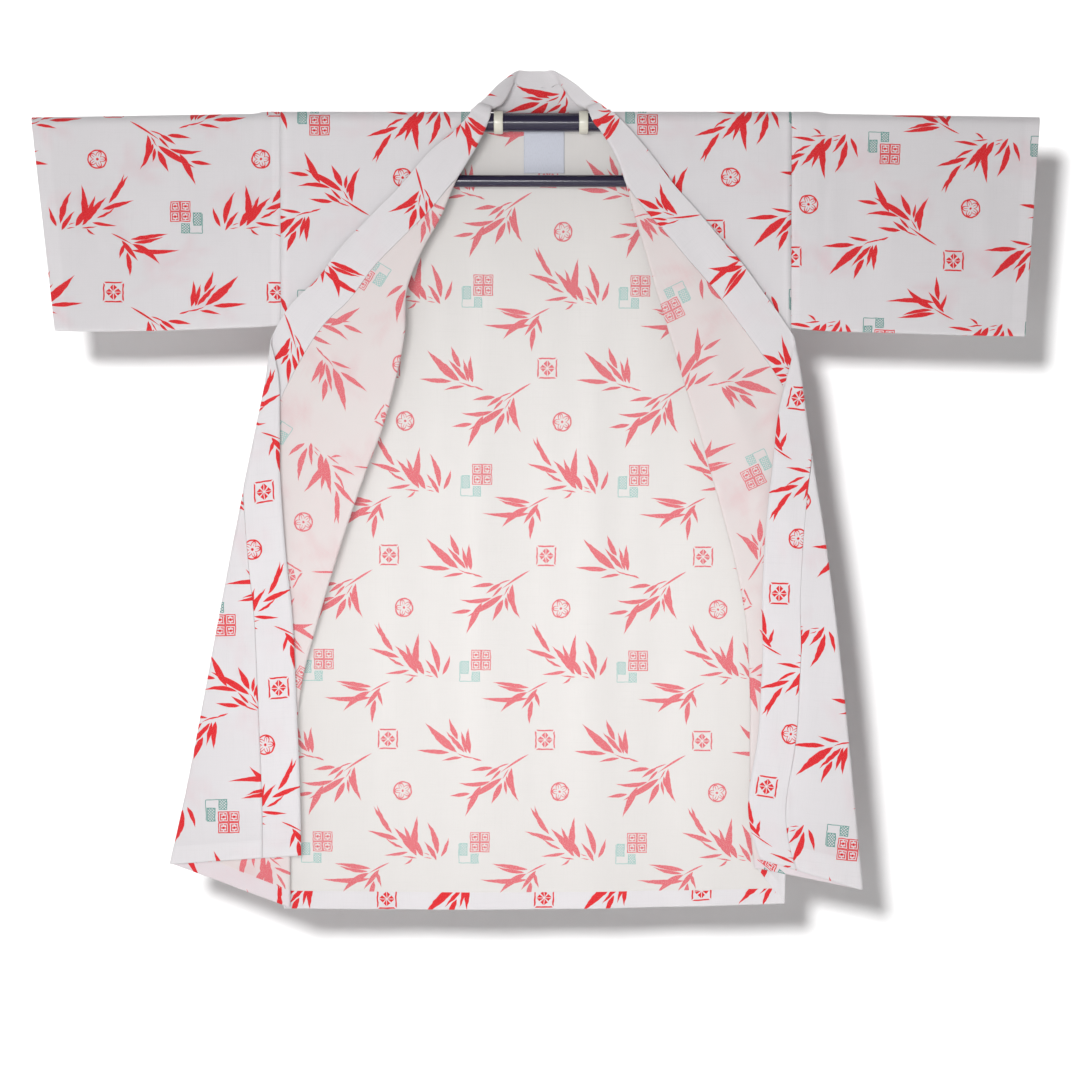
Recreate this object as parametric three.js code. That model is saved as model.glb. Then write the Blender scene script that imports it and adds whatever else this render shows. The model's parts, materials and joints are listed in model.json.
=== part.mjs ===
// A short cotton yukata hung open on a straight pole hanger, its fronts folded back like lapels.
// Millimetres, +Z up. The origin is on the pole's axis, midway between its two pale clamps.
// The viewer stands on the -Y side; "left" and "right" are the viewer's.
// "out" is a distance from the middle towards either cuff, "fore" a distance towards the viewer.

import * as THREE from 'three';

// ---- driving dimensions ----
const CLOTH = 1.2; // wall of one ply
const BAND_WALL = 2.4; // wall of the collar band, which is folded double
const BAND_WIDTH = 49;
const GAP = 0.3; // between pieces at a seam
const EDGE = GAP / 2;
const POLE_RADIUS = 12;
const POLE_HALF = 352;
const ARM_RADIUS = 9.5; // thinner telescoping arms in the pole's ends
const ARM_TIP = 632;
const ARM_DROOP = 0.016; // radians
const BAR = { radius: 7.7, half: 168, z: -75 };
const LINK = { radius: 2.5, out: 150 };
const CLAMP = { radius: 15, width: 11.5, out: 54.5 };
const WRAP = 13.4; // radius of the cloth's middle where it lies over the pole
const NECK_BACK = 16.9; // how far behind the pole's axis the neck hangs
const FOLD_RADIUS = 3.2; // of the roll along each lapel
const TURN_RADIUS = 3; // of the outer fold, where the lapel turns forward again
const HEM_BELLY = 9; // how far back of the pole's axis the back hangs at the hem
const SLEEVE_FOOT = 3.6; // radius of the sleeve's lower fold
const ARMHOLE_FOOT = -260; // height of the armhole's lowest point
const HEM_DIP = 5; // how far the back's hem sinks below its corners
const SEAM_FORE = EDGE + CLOTH / 2; // a side seam's two plies lie face to face

// Each row runs along the weft from the side seam to the free edge, first row on the shoulder.
// side: armhole or side seam; fold: the lapel's roll; turn: the outer fold, or above the armpit a
// point past the free edge that the lapel aims at; rise: slope of the cloth past the turn, degrees;
// width: side seam to free edge; foldFore, turnFore, edgeFore: depth of the plies at each fold.
const FRONT_COLUMNS = ['sideOut', 'sideZ', 'foldOut', 'foldZ', 'turnOut', 'turnZ',
  'rise', 'width', 'foldFore', 'turnFore', 'edgeFore'];
const FRONT_LEFT = [
  [333, 20.9, 60, 20.9, 98, 37, 8, 293, 13.4, 17.6, 19],
  [333, -11, 72, -11, 108, 29, 8, 293, 13.4, 17.6, 19],
  [333, -38, 86, -38, 129, 8, 8, 287, 13.2, 17.4, 19],
  [333, -75, 108, -75, 159, -22, 8, 279, 13, 17, 19],
  [333, -118, 128, -122, 199, -64, 8, 274, 12.5, 16.6, 19],
  [333, -163, 151, -163, 234, -103, 8, 264, 12, 16.2, 18.5],
  [333, -214, 171, -214, 272, -151, 8, 266, 11.5, 15, 18.5],
  [333, -266, 174, -271, 305, -189, 8, 295, 11, 13.4, 18],
  [333.4, -323, 184, -323, 331, -219, 8, 315, 10.5, 11.6, 17.5],
  [334, -387, 201, -387, 342, -262, 10, 322, 9.5, 10, 17.5],
  [335, -445, 223, -445, 351, -328, 16, 310, 8.5, 8.5, 17.5],
  [335, -502, 243, -502, 363, -388, 12, 296, 7.5, 7, 17.5],
  [335, -566, 263, -564, 378, -460, 9, 281, 6.5, 6.5, 17.5],
  [334, -637, 284, -634, 396, -552, 8, 267, 5.5, 6, 17.5],
  [333, -714, 305, -714, 413, -642, 6, 262, 4.5, 6, 17],
  [332, -803, 315, -803, 431, -739, 5, 276, 3.5, 5.5, 16],
  [330, -906, 320, -906, 452, -848, 5, 306, 2.6, 5, 15],
  [329, -1006, 321, -1003, 474, -948, 4, 347, 2, 4.5, 14],
];
const FRONT_RIGHT = [
  [320, 20.9, 58, 20.9, 95, 36, 8, 281, 13.4, 17.6, 19],
  [320, -11, 76, -11, 106, 29, 8, 276, 13.4, 17.6, 19],
  [320, -38, 92, -37, 141, 0, 8, 266, 13.2, 17.4, 19],
  [320, -75, 106, -71, 162, -28, 8, 263, 13, 17, 19],
  [320, -118, 119, -120, 190, -65, 8, 269, 12.5, 16.6, 19],
  [320, -163, 132, -163, 216, -96, 8, 275, 12, 16.2, 18.5],
  [320, -214, 146, -212, 246, -129, 8, 282, 11.5, 15, 18.5],
  [320, -266, 161, -261, 274, -164, 8, 288, 11, 13.4, 18],
  [320.4, -323, 179, -321, 300, -199, 8, 293, 10.5, 11.6, 17.5],
  [320.4, -387, 199, -386, 316, -249, 9, 298, 9.5, 10, 17.5],
  [319.5, -445, 216, -445, 329, -306, 10, 301, 8.5, 8.5, 17.5],
  [319, -509, 233, -506, 338, -370, 7, 301, 7.5, 7, 17.5],
  [318, -573, 250, -573, 348, -438, 4, 296, 7, 6.5, 17.5],
  [317, -643, 262, -640, 360, -513, 3, 297, 6.5, 6, 17.5],
  [316, -726, 267, -726, 373, -606, 2, 309, 6, 6, 17],
  [315, -816, 267, -818, 385, -710, 3, 320, 5.5, 5.5, 16.5],
  [314, -912, 268, -902, 397, -832, 7, 328, 5, 5, 16],
  [312, -1000, 273, -954, 411, -981, 17, 347, 4.5, 4.5, 15],
];
// Where the collar's seam goes round a fold, and how much its gap opens there.
const CROSSINGS = [
  { row: 2.8, rows: 0.5, extra: 0.4 },
  { row: 11.75, rows: 0.5, extra: 0.42 },
];

// Cross-sections of the band round the neck, from the middle of the back to the shoulder point:
// where it is seamed on, where it rolls over, and its free edge.
const NECK_COLUMNS = ['seamOut', 'seamZ', 'seamFore', 'rollOut', 'rollZ', 'rollFore',
  'freeOut', 'freeZ', 'freeFore'];
const NECK = [
  [0, 13.9, -17, 0, 46, -17.5, 0, 67.5, -17.5],
  [26, 13.9, -17, 17, 46, -17, 12, 67.5, -16.5],
  [43, 13.9, -17, 28, 51, -14.5, 22, 67.5, -12],
  [57, 14.6, -16.4, 31, 50, -9, 34, 60, -4],
  [69, 15.6, -10.5, 38, 37, -4, 51, 47, 3],
  [79, 15.7, -3.6, 46, 25, 1, 63, 35, 8],
];
// The same over the pole, where the seam follows the front's own neck edge.
const SHOULDER_COLUMNS = ['row', 'lift', 'rollOut', 'rollZ', 'rollFore', 'freeOut', 'freeZ',
  'freeFore'];
const SHOULDER = [
  [0, 2.3, 57, 18.4, 4.5, 74, 25, 12.5],
  [0.2, 1.2, 58.5, 16.6, 9.6, 77, 23, 14.5],
  [0.4, 0.6, 60, 12.8, 14, 80, 20.5, 16.5],
  [0.6, 0.6, 63, 5, 17, 84, 17, 17.6],
  [0.8, 0.6, 67, -3, 17.3, 88, 13.5, 18],
];
const NECK_LEAN = { top: -7, foot: 1, topZ: 67.5, footZ: -11 }; // the collar stands off centre
const NECK_HALF = { flat: 55, point: 88 }; // half the neck's straight back, and to its corner

// Soft vertical folds of the back: place, height of the wave, half width, and where it starts.
const BACK_FOLD_COLUMNS = ['x', 'wave', 'halfWidth', 'startZ'];
const BACK_FOLDS = [
  [-185, 2.6, 34, -260],
  [-88, -3, 30, -180],
  [-10, 2.2, 38, -420],
  [62, -2.8, 30, -200],
  [150, 2.6, 36, -330],
  [238, -2.2, 34, -520],
];

// Sleeves, from the armhole to the cuff: the upper and lower ends of each ring.
const SLEEVE_COLUMNS = ['topOut', 'footOut', 'footZ', 'sway'];
const SLEEVE_LEFT = [
  [333.3, 333.3, -260, 0],
  [352, 350, -261, 0.3],
  [372, 368, -262, 0.8],
  [430, 421, -264, 1.4],
  [490, 476, -266, -0.6],
  [550, 531, -267, -1.6],
  [605, 581, -267.5, 0.4],
  [640, 613, -267, 0.2],
  [651.5, 622, -266.5, 0],
];
const SLEEVE_RIGHT = [
  [320.3, 320.3, -263, 0],
  [338, 336.5, -265, -0.3],
  [354, 351, -266, -0.6],
  [372, 367, -267, -0.9],
  [425, 416, -268.5, -1.2],
  [480, 468, -270, 0.8],
  [535, 520, -271.5, 1.5],
  [590, 572, -273, -0.3],
  [625, 607, -273.5, -0.2],
  [637.5, 619.5, -273.5, 0],
];
const LABEL = { left: -22, right: 30, top: -9, foot: -64, wall: 1 };

const HALF_PI = Math.PI / 2;

function table(columns, rows) {
  return Object.fromEntries(columns.map((name, i) => [name, rows.map((row) => row[i])]));
}

// Smooth curve through evenly spaced values.
function along(values, t) {
  const last = values.length - 1;
  const i = Math.min(Math.max(Math.floor(t), 0), last - 1);
  const u = t - i;
  const [b, c] = [values[i], values[i + 1]];
  const a = values[Math.max(i - 1, 0)];
  const d = values[Math.min(i + 2, last)];
  const slopeB = i > 0 ? (c - a) / 2 : c - b;
  const slopeC = i + 2 <= last ? (d - b) / 2 : c - b;
  const [u2, u3] = [u * u, u * u * u];
  return b * (2 * u3 - 3 * u2 + 1) + slopeB * (u3 - 2 * u2 + u)
    + c * (3 * u2 - 2 * u3) + slopeC * (u3 - u2);
}

const mix = (a, b, u) => a + (b - a) * u;
const clamp = (value, low, high) => Math.min(Math.max(value, low), high);
const ease = (u) => clamp(u, 0, 1) ** 2 * (3 - 2 * clamp(u, 0, 1));

// ---- walls from a grid of middle points ----

// The wall's faces lie half a thickness to each side of the grid. A ring grid closes on itself
// from its last column to its first; any other grid gets a rim all round.
function wall(grid, thickness, ring = false) {
  const [rows, columns] = [grid.length, grid[0].length];
  const positions = [];
  for (const side of [0.5, -0.5]) {
    for (let r = 0; r < rows; r += 1) {
      for (let c = 0; c < columns; c += 1) {
        const down = slope((n) => grid[n][c], r, rows, false);
        const across = slope((n) => grid[r][n], c, columns, ring);
        const normal = down.cross(across).normalize();
        positions.push(...grid[r][c].clone().addScaledVector(normal, side * thickness));
      }
    }
  }
  const back = rows * columns;
  const at = (r, c) => r * columns + (c % columns);
  const indices = [];
  const quad = (a, b, c, d) => indices.push(a, b, c, a, c, d);
  const spans = ring ? columns : columns - 1;
  for (let r = 0; r < rows - 1; r += 1) {
    for (let c = 0; c < spans; c += 1) {
      quad(at(r, c), at(r + 1, c), at(r + 1, c + 1), at(r, c + 1));
      quad(back + at(r, c), back + at(r, c + 1), back + at(r + 1, c + 1), back + at(r + 1, c));
    }
  }
  for (let c = 0; c < spans; c += 1) {
    const foot = rows - 1;
    quad(at(0, c), at(0, c + 1), back + at(0, c + 1), back + at(0, c));
    quad(at(foot, c + 1), at(foot, c), back + at(foot, c), back + at(foot, c + 1));
  }
  if (!ring) {
    for (let r = 0; r < rows - 1; r += 1) {
      const end = columns - 1;
      quad(at(r + 1, 0), at(r, 0), back + at(r, 0), back + at(r + 1, 0));
      quad(at(r, end), at(r + 1, end), back + at(r + 1, end), back + at(r, end));
    }
  }
  return solid(positions, indices);
}

// Direction of a line of points at one of them; at the line's ends, of the curve through the
// nearest three.
function slope(pick, i, count, ring) {
  if (ring) return pick((i + 1) % count).clone().sub(pick((i + count - 1) % count));
  if (i > 0 && i < count - 1) return pick(i + 1).clone().sub(pick(i - 1));
  const inward = i === 0 ? 1 : -1;
  const near = pick(i + inward).clone().sub(pick(i));
  const next = pick(i + 2 * inward).clone().sub(pick(i + inward));
  const share = near.length() / (near.length() + next.length());
  const bend = near.clone().normalize().sub(next.normalize()).multiplyScalar(share);
  return near.normalize().add(bend).multiplyScalar(inward);
}

function solid(positions, indices) {
  const geometry = new THREE.BufferGeometry();
  geometry.setAttribute('position', new THREE.Float32BufferAttribute(positions, 3));
  const corner = (i) => new THREE.Vector3().fromArray(positions, 3 * indices[i]);
  let volume = 0;
  for (let i = 0; i < indices.length; i += 3) {
    volume += corner(i).dot(corner(i + 1).cross(corner(i + 2)));
  }
  if (volume < 0) indices.reverse();
  geometry.setIndex(indices);
  geometry.computeVertexNormals();
  return geometry;
}

// Places along the weft, close together in each fold, kept apart where a fold lies off the piece.
function stations(start, end, folds, counts) {
  const SLIVER = 0.8;
  const total = counts.reduce((sum, count) => sum + count, 0);
  const knots = [start];
  let passed = 0;
  folds.forEach((fold, i) => {
    passed += counts[i];
    knots.push(clamp(fold, start + passed * SLIVER, end - (total - passed) * SLIVER));
  });
  knots.push(end);
  const places = [start];
  counts.forEach((count, i) => {
    for (let n = 1; n <= count; n += 1) places.push(mix(knots[i], knots[i + 1], n / count));
  });
  return places;
}

// ---- depths that neighbouring pieces share ----

// Half the distance between the front and back plies at the armhole and down the side seam.
function armholeDepth(z) {
  const throughArmhole = mix(WRAP, SLEEVE_FOOT, clamp(z / ARMHOLE_FOOT, 0, 1));
  return mix(throughArmhole, SEAM_FORE, ease((ARMHOLE_FOOT - z) / 40));
}

// How far behind the pole's axis the middle of the back hangs.
function backDepth(x, z) {
  const fromNeck = Math.abs(x - neckMiddle(z));
  const neck = mix(NECK_BACK, WRAP, ease((fromNeck - NECK_HALF.flat) / NECK_HALF.flat));
  const upper = mix(neck, WRAP, ease((-90 - z) / 150));
  const belly = mix(upper, HEM_BELLY, ease((-300 - z) / 700));
  const folds = table(BACK_FOLD_COLUMNS, BACK_FOLDS);
  return folds.x.reduce((sum, place, i) => {
    const reach = (x - place) / folds.halfWidth[i];
    return sum + folds.wave[i] * Math.exp(-reach * reach) * ease((folds.startZ[i] - z) / 260);
  }, belly);
}

function neckMiddle(z) {
  const fall = clamp((NECK_LEAN.topZ - z) / (NECK_LEAN.topZ - NECK_LEAN.footZ), 0, 1);
  return mix(NECK_LEAN.top, NECK_LEAN.foot, fall);
}

// ---- fronts: side seam, hidden ply, roll, lapel, outer fold, facing ply ----

function makeFront(side, rows) {
  const values = table(FRONT_COLUMNS, rows);
  const at = (name, t) => along(values[name], t);
  const place = (out, z, fore) => new THREE.Vector3(side * out, -fore, z);

  // A fold's outward direction, square to the curve that it follows down the cloth.
  function foldNormal(name, t, sign) {
    const step = 0.05;
    const dOut = at(`${name}Out`, t + step) - at(`${name}Out`, t - step);
    const dZ = at(`${name}Z`, t + step) - at(`${name}Z`, t - step);
    const length = Math.hypot(dOut, dZ);
    return [(sign * dZ) / length, (-sign * dOut) / length];
  }

  function foldAxis(name, t, normal, radius) {
    return [at(`${name}Out`, t) - normal[0] * radius, at(`${name}Z`, t) - normal[1] * radius];
  }

  // One weft line: where its folds lie in the plane of the cloth, and how far along the cloth.
  function row(t) {
    const foldDir = foldNormal('fold', t, 1);
    const turnDir = foldNormal('turn', t, -1);
    const seat = [at('sideOut', t), at('sideZ', t)];
    const fold = foldAxis('fold', t, foldDir, FOLD_RADIUS);
    const turn = foldAxis('turn', t, turnDir, TURN_RADIUS);
    const foldStart = Math.hypot(fold[0] - seat[0], fold[1] - seat[1]);
    const foldEnd = foldStart + Math.PI * FOLD_RADIUS;
    const turnStart = foldEnd + Math.hypot(turn[0] - fold[0], turn[1] - fold[1]);
    const turnEnd = turnStart + Math.PI * TURN_RADIUS;
    return {
      side, foldDir, turnDir, seat, fold, turn,
      width: at('width', t),
      rise: THREE.MathUtils.degToRad(at('rise', t)),
      fores: [at('foldFore', t), at('turnFore', t), at('edgeFore', t)],
      folds: [foldStart, foldEnd, turnStart, turnEnd],
    };
  }

  // The cloth's middle, a distance along the weft from the side seam.
  function point(line, s) {
    const [foldStart, foldEnd, turnStart, turnEnd] = line.folds;
    const [foldFore, turnFore, edgeFore] = line.fores;
    const { seat, fold, turn } = line;
    if (s <= foldStart) {
      const u = s / foldStart;
      const z = mix(seat[1], fold[1], u);
      const out = mix(seat[0], fold[0], u);
      if (seat[1] > 0) {
        const bend = seat[1] / WRAP;
        return place(out, WRAP * Math.sin(bend), WRAP * Math.cos(bend));
      }
      return place(out, z, mix(armholeDepth(seat[1]), foldFore, ease(u)));
    }
    if (s <= foldEnd) {
      const angle = (s - foldStart) / FOLD_RADIUS;
      const reach = FOLD_RADIUS * Math.sin(angle);
      return place(fold[0] + line.foldDir[0] * reach, fold[1] + line.foldDir[1] * reach,
        foldFore + FOLD_RADIUS * (1 - Math.cos(angle)));
    }
    if (s <= turnStart) {
      const u = (s - foldEnd) / (turnStart - foldEnd);
      return place(mix(fold[0], turn[0], u), mix(fold[1], turn[1], u),
        mix(foldFore + 2 * FOLD_RADIUS, turnFore, u));
    }
    if (s <= turnEnd) {
      const angle = (s - turnStart) / TURN_RADIUS;
      const reach = TURN_RADIUS * Math.sin(angle);
      return place(turn[0] + line.turnDir[0] * reach, turn[1] + line.turnDir[1] * reach,
        turnFore + TURN_RADIUS * (1 - Math.cos(angle)));
    }
    const past = s - turnEnd;
    const u = past / Math.max(line.width - turnEnd, BAND_WIDTH);
    return place(turn[0] - past * Math.cos(line.rise), turn[1] + past * Math.sin(line.rise),
      mix(turnFore + 2 * TURN_RADIUS, edgeFore, u));
  }

  return { row, point, side };
}

const SHOULDER_ROWS = [0, 0.2, 0.4, 0.6, 0.8];
const BODY_ROWS = [1, 1.5, 2, 2.5, 2.6, 2.75, 2.9, 3, 3.5, 4, 5, 6, 7, 8, 9, 9.5, 10, 11, 11.5, 11.65,
  11.8, 12, 13, 14, 15, 16, 17];
const BACK_ROWS = [1, 2, 3, 4, 5, 6, 7, 8, 9, 10, 11, 12, 13, 14, 15, 16, 17];
const HEM_ROW = 17;

function frontPanel(front) {
  const COUNTS = [5, 4, 4, 4, 3];
  const grid = [...SHOULDER_ROWS, ...BODY_ROWS].map((t) => {
    const line = front.row(t);
    const places = stations(EDGE, line.width - BAND_WIDTH - seamEdge(t), line.folds, COUNTS);
    return places.map((s) => front.point(line, s));
  });
  return wall(grid, CLOTH);
}

// Half the gap at the collar's seam.
function seamEdge(t) {
  return CROSSINGS.reduce((sum, { row, rows, extra }) => {
    const reach = (t - row) / rows;
    return sum + extra * Math.exp(-reach * reach);
  }, EDGE);
}

// ---- the collar: one band from hem to hem, standing round the neck ----

const BAND_COUNTS = [2, 4, 3, 4, 2];

function bandOnFront(front, t) {
  const line = front.row(t);
  const start = line.width - BAND_WIDTH + seamEdge(t);
  return stations(start, line.width, line.folds, BAND_COUNTS).map((s) => front.point(line, s));
}

// A cross-section that stands up from its seam and rolls over with a round edge.
function rolledSection(seam, roll, free) {
  const RADIUS = 3;
  const legs = (vertex) => [seam.clone().sub(vertex).normalize(), free.clone().sub(vertex).normalize()];
  const [up, over] = legs(roll);
  const halfAngle = up.angleTo(over) / 2;
  const vertex = roll.clone().addScaledVector(
    up.clone().add(over).normalize(), -(RADIUS / Math.sin(halfAngle) - RADIUS));
  const [toSeam, toFree] = legs(vertex);
  const half = toSeam.angleTo(toFree) / 2;
  const tangent = RADIUS / Math.tan(half);
  const turn = Math.PI - 2 * half;
  const centre = vertex.clone().addScaledVector(
    toSeam.clone().add(toFree).normalize(), RADIUS / Math.sin(half));
  const bendStart = vertex.clone().addScaledVector(toSeam, tangent);
  const bendEnd = vertex.clone().addScaledVector(toFree, tangent);
  const stand = seam.distanceTo(bendStart);
  const bend = RADIUS * turn;
  const lapel = bendEnd.distanceTo(free);
  const folds = [stand, stand + bend, Infinity, Infinity];
  return stations(0, stand + bend + lapel, folds, BAND_COUNTS).map((s) => {
    if (s <= stand) return seam.clone().lerp(bendStart, s / stand);
    if (s >= stand + bend) return bendEnd.clone().lerp(free, (s - stand - bend) / lapel);
    const angle = (s - stand) / RADIUS;
    return centre.clone()
      .addScaledVector(bendStart.clone().sub(centre), Math.sin(turn - angle) / Math.sin(turn))
      .addScaledVector(bendEnd.clone().sub(centre), Math.sin(angle) / Math.sin(turn));
  });
}

function neckPoint(side, row, name) {
  const z = row[`${name}Z`];
  return new THREE.Vector3(neckMiddle(z) + side * row[`${name}Out`], -row[`${name}Fore`], z);
}

function named(columns, values) {
  return Object.fromEntries(columns.map((name, i) => [name, values[i]]));
}

function bandOnNeck(side) {
  return NECK.map((values) => {
    const row = named(NECK_COLUMNS, values);
    return rolledSection(neckPoint(side, row, 'seam'), neckPoint(side, row, 'roll'),
      neckPoint(side, row, 'free'));
  });
}

function bandOverPole(front) {
  return SHOULDER.map((values) => {
    const row = named(SHOULDER_COLUMNS, values);
    const line = front.row(row.row);
    const seam = front.point(line, line.width - BAND_WIDTH + EDGE);
    const lift = new THREE.Vector3(0, seam.y, seam.z).setLength(row.lift);
    return rolledSection(seam.add(lift), neckPoint(front.side, row, 'roll'),
      neckPoint(front.side, row, 'free'));
  });
}

function collarBand(left, right) {
  const half = (front) => [
    ...bandOnNeck(front.side),
    ...bandOverPole(front),
    ...BODY_ROWS.map((t) => bandOnFront(front, t)),
  ];
  const leftHalf = half(left).reverse();
  return wall([...leftHalf, ...half(right).slice(1)], BAND_WALL);
}

// ---- back, sleeves and label ----

// Places across the back, as shares of its half width, close together at the neck's corners.
const BACK_SHARES = [0, 0.07, 0.13, 0.17, 0.205, 0.235, 0.265, 0.3, 0.37, 0.46, 0.56, 0.67, 0.78, 0.89,
  0.97, 1];

function backPanel(left, right) {
  const shares = [...BACK_SHARES.slice(1).reverse().map((share) => -share), ...BACK_SHARES];
  const grid = [...SHOULDER_ROWS, ...BACK_ROWS].map((t) => {
    const [a, b] = [left.row(t).seat, right.row(t).seat];
    return shares.map((share) => {
      const u = (share + 1) / 2;
      const x = mix(-a[0] + EDGE, b[0] - EDGE, u);
      const z = mix(a[1], b[1], u) - HEM_DIP * (t / HEM_ROW) ** 8 * (1 - share * share);
      if (z > 0) return overShoulder(x, z);
      const depth = mix(armholeDepth(z), backDepth(x, z), 1 - Math.abs(share) ** 5);
      return new THREE.Vector3(x, depth, z);
    });
  });
  return wall(grid, CLOTH);
}

// The shoulders bend over the pole; between them the neck's edge stands up behind it.
function overShoulder(x, z) {
  const fromNeck = Math.abs(x - neckMiddle(WRAP));
  const neckward = 1 - ease((fromNeck - NECK_HALF.flat) / (NECK_HALF.point - NECK_HALF.flat));
  const depth = backDepth(x, 0);
  const edgeDepth = depth * neckward;
  return new THREE.Vector3(x, mix(edgeDepth, depth, Math.cos(z / WRAP)), WRAP * Math.sin(z / WRAP));
}

function sleeve(side, rows) {
  const ARC = 6;
  const WALL = 6;
  const FOOT_ARC = 4;
  const values = rows.map((row) => named(SLEEVE_COLUMNS, row));
  const grid = values.map(({ topOut, footOut, footZ, sway }) => {
    const onArm = ease((topOut - POLE_HALF) / 18);
    const radius = mix(WRAP, WRAP - POLE_RADIUS + ARM_RADIUS, onArm);
    const axisZ = -Math.max(topOut - POLE_HALF, 0) * ARM_DROOP;
    const footAxis = footZ + SLEEVE_FOOT;
    const topZ = axisZ + radius;
    const ring = [];
    const add = (fore, z, shift) => {
      const fall = (topZ - z) / (topZ - footZ);
      const depth = -(fore + shift * Math.sin(Math.PI * fall));
      ring.push(new THREE.Vector3(side * mix(topOut, footOut, fall), depth, z));
    };
    for (let n = 0; n <= ARC; n += 1) {
      const angle = (Math.PI * n) / ARC;
      add(radius * Math.cos(angle), axisZ + radius * Math.sin(angle), 0);
    }
    for (let n = 1; n < WALL; n += 1) {
      add(-mix(radius, SLEEVE_FOOT, n / WALL), mix(axisZ, footAxis, n / WALL), sway / 2);
    }
    for (let n = 0; n <= FOOT_ARC; n += 1) {
      const angle = Math.PI + (Math.PI * n) / FOOT_ARC;
      add(SLEEVE_FOOT * Math.cos(angle), footAxis + SLEEVE_FOOT * Math.sin(angle), 0);
    }
    for (let n = 1; n < WALL; n += 1) {
      add(mix(SLEEVE_FOOT, radius, n / WALL), mix(footAxis, axisZ, n / WALL), sway);
    }
    return ring;
  });
  return wall(grid, CLOTH, true);
}

function careLabel() {
  const STEPS = 5;
  const lift = CLOTH / 2 + GAP + LABEL.wall / 2;
  const grid = [];
  for (let r = 0; r <= STEPS; r += 1) {
    const z = mix(LABEL.top, LABEL.foot, r / STEPS);
    grid.push([]);
    for (let c = 0; c <= STEPS; c += 1) {
      const x = mix(LABEL.left, LABEL.right, c / STEPS);
      grid[r].push(new THREE.Vector3(x, backDepth(x, z) - lift, z));
    }
  }
  return wall(grid, LABEL.wall);
}

// ---- the hanger ----

const ROUND = 28;

function rodAlongX(radius, length) {
  return new THREE.CylinderGeometry(radius, radius, length, ROUND).rotateZ(HALF_PI);
}

function clampRing() {
  const CHAMFER = 0.8;
  const bore = POLE_RADIUS + GAP;
  const end = CLAMP.width / 2;
  const profile = [
    [bore, -end], [CLAMP.radius - CHAMFER, -end], [CLAMP.radius, CHAMFER - end],
    [CLAMP.radius, end - CHAMFER], [CLAMP.radius - CHAMFER, end], [bore, end], [bore, -end],
  ].map(([radius, x]) => new THREE.Vector2(radius, x));
  return new THREE.LatheGeometry(profile, ROUND).rotateZ(HALF_PI);
}

function linkRod() {
  const top = -POLE_RADIUS - GAP;
  const foot = BAR.z + BAR.radius + GAP;
  const rod = new THREE.CylinderGeometry(LINK.radius, LINK.radius, top - foot, 12);
  return rod.rotateX(HALF_PI).translate(0, 0, (top + foot) / 2);
}

// ---- the scene graph ----

const cotton = () => new THREE.MeshStandardMaterial({ color: 0xf3efec, roughness: 0.9, metalness: 0 });
const labelCloth = () => new THREE.MeshStandardMaterial({ color: 0xdfe2f2, roughness: 0.8, metalness: 0 });
const navyPlastic = () => new THREE.MeshStandardMaterial({ color: 0x26223a, roughness: 0.3, metalness: 0 });
const palePlastic = () => new THREE.MeshStandardMaterial({ color: 0xdedccb, roughness: 0.45, metalness: 0 });

function piece(name, geometry, material) {
  const mesh = new THREE.Mesh(geometry, material);
  mesh.name = name;
  return mesh;
}

function buildGarment() {
  const left = makeFront(-1, FRONT_LEFT);
  const right = makeFront(1, FRONT_RIGHT);
  const group = new THREE.Group();
  group.add(
    piece('back', backPanel(left, right), cotton()),
    piece('front_left', frontPanel(left), cotton()),
    piece('front_right', frontPanel(right), cotton()),
    piece('sleeve_left', sleeve(-1, SLEEVE_LEFT), cotton()),
    piece('sleeve_right', sleeve(1, SLEEVE_RIGHT), cotton()),
    piece('collar', collarBand(left, right), cotton()),
    piece('care_label', careLabel(), labelCloth()),
  );
  return group;
}

function buildHanger() {
  const group = new THREE.Group();
  group.add(piece('hanger_pole', rodAlongX(POLE_RADIUS, 2 * POLE_HALF), navyPlastic()));
  const bar = piece('hanger_bar', rodAlongX(BAR.radius, 2 * BAR.half), navyPlastic());
  bar.position.z = BAR.z;
  group.add(bar);
  for (const [name, side] of [['left', -1], ['right', 1]]) {
    const armStart = POLE_HALF + GAP;
    const armMiddle = (armStart + ARM_TIP) / 2;
    const arm = piece(`hanger_arm_${name}`, rodAlongX(ARM_RADIUS, ARM_TIP - armStart), navyPlastic());
    arm.position.set(side * armMiddle, 0, -(armMiddle - POLE_HALF) * ARM_DROOP);
    arm.rotation.y = side * ARM_DROOP;
    const ring = piece(`hanger_clamp_${name}`, clampRing(), palePlastic());
    ring.position.x = side * CLAMP.out;
    const link = piece(`hanger_link_${name}`, linkRod(), navyPlastic());
    link.position.x = side * LINK.out;
    group.add(arm, ring, link);
  }
  return group;
}

const yukataOnHanger = new THREE.Group();
yukataOnHanger.name = 'short_yukata_on_hanger';
yukataOnHanger.add(buildGarment(), buildHanger());

export default yukataOnHanger;
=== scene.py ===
"""Short cotton yukata hung open on a pole hanger: cloth, print, label, hanger finishes and studio.

Lengths in the tables are millimetres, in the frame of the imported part: +X to the viewer's right,
+Z up, the viewer on the -Y side, the origin on the pole's axis. "out" runs from the middle to a cuff
and "fore" towards the viewer. Left and right are the viewer's.
"""
import json
import math

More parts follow.
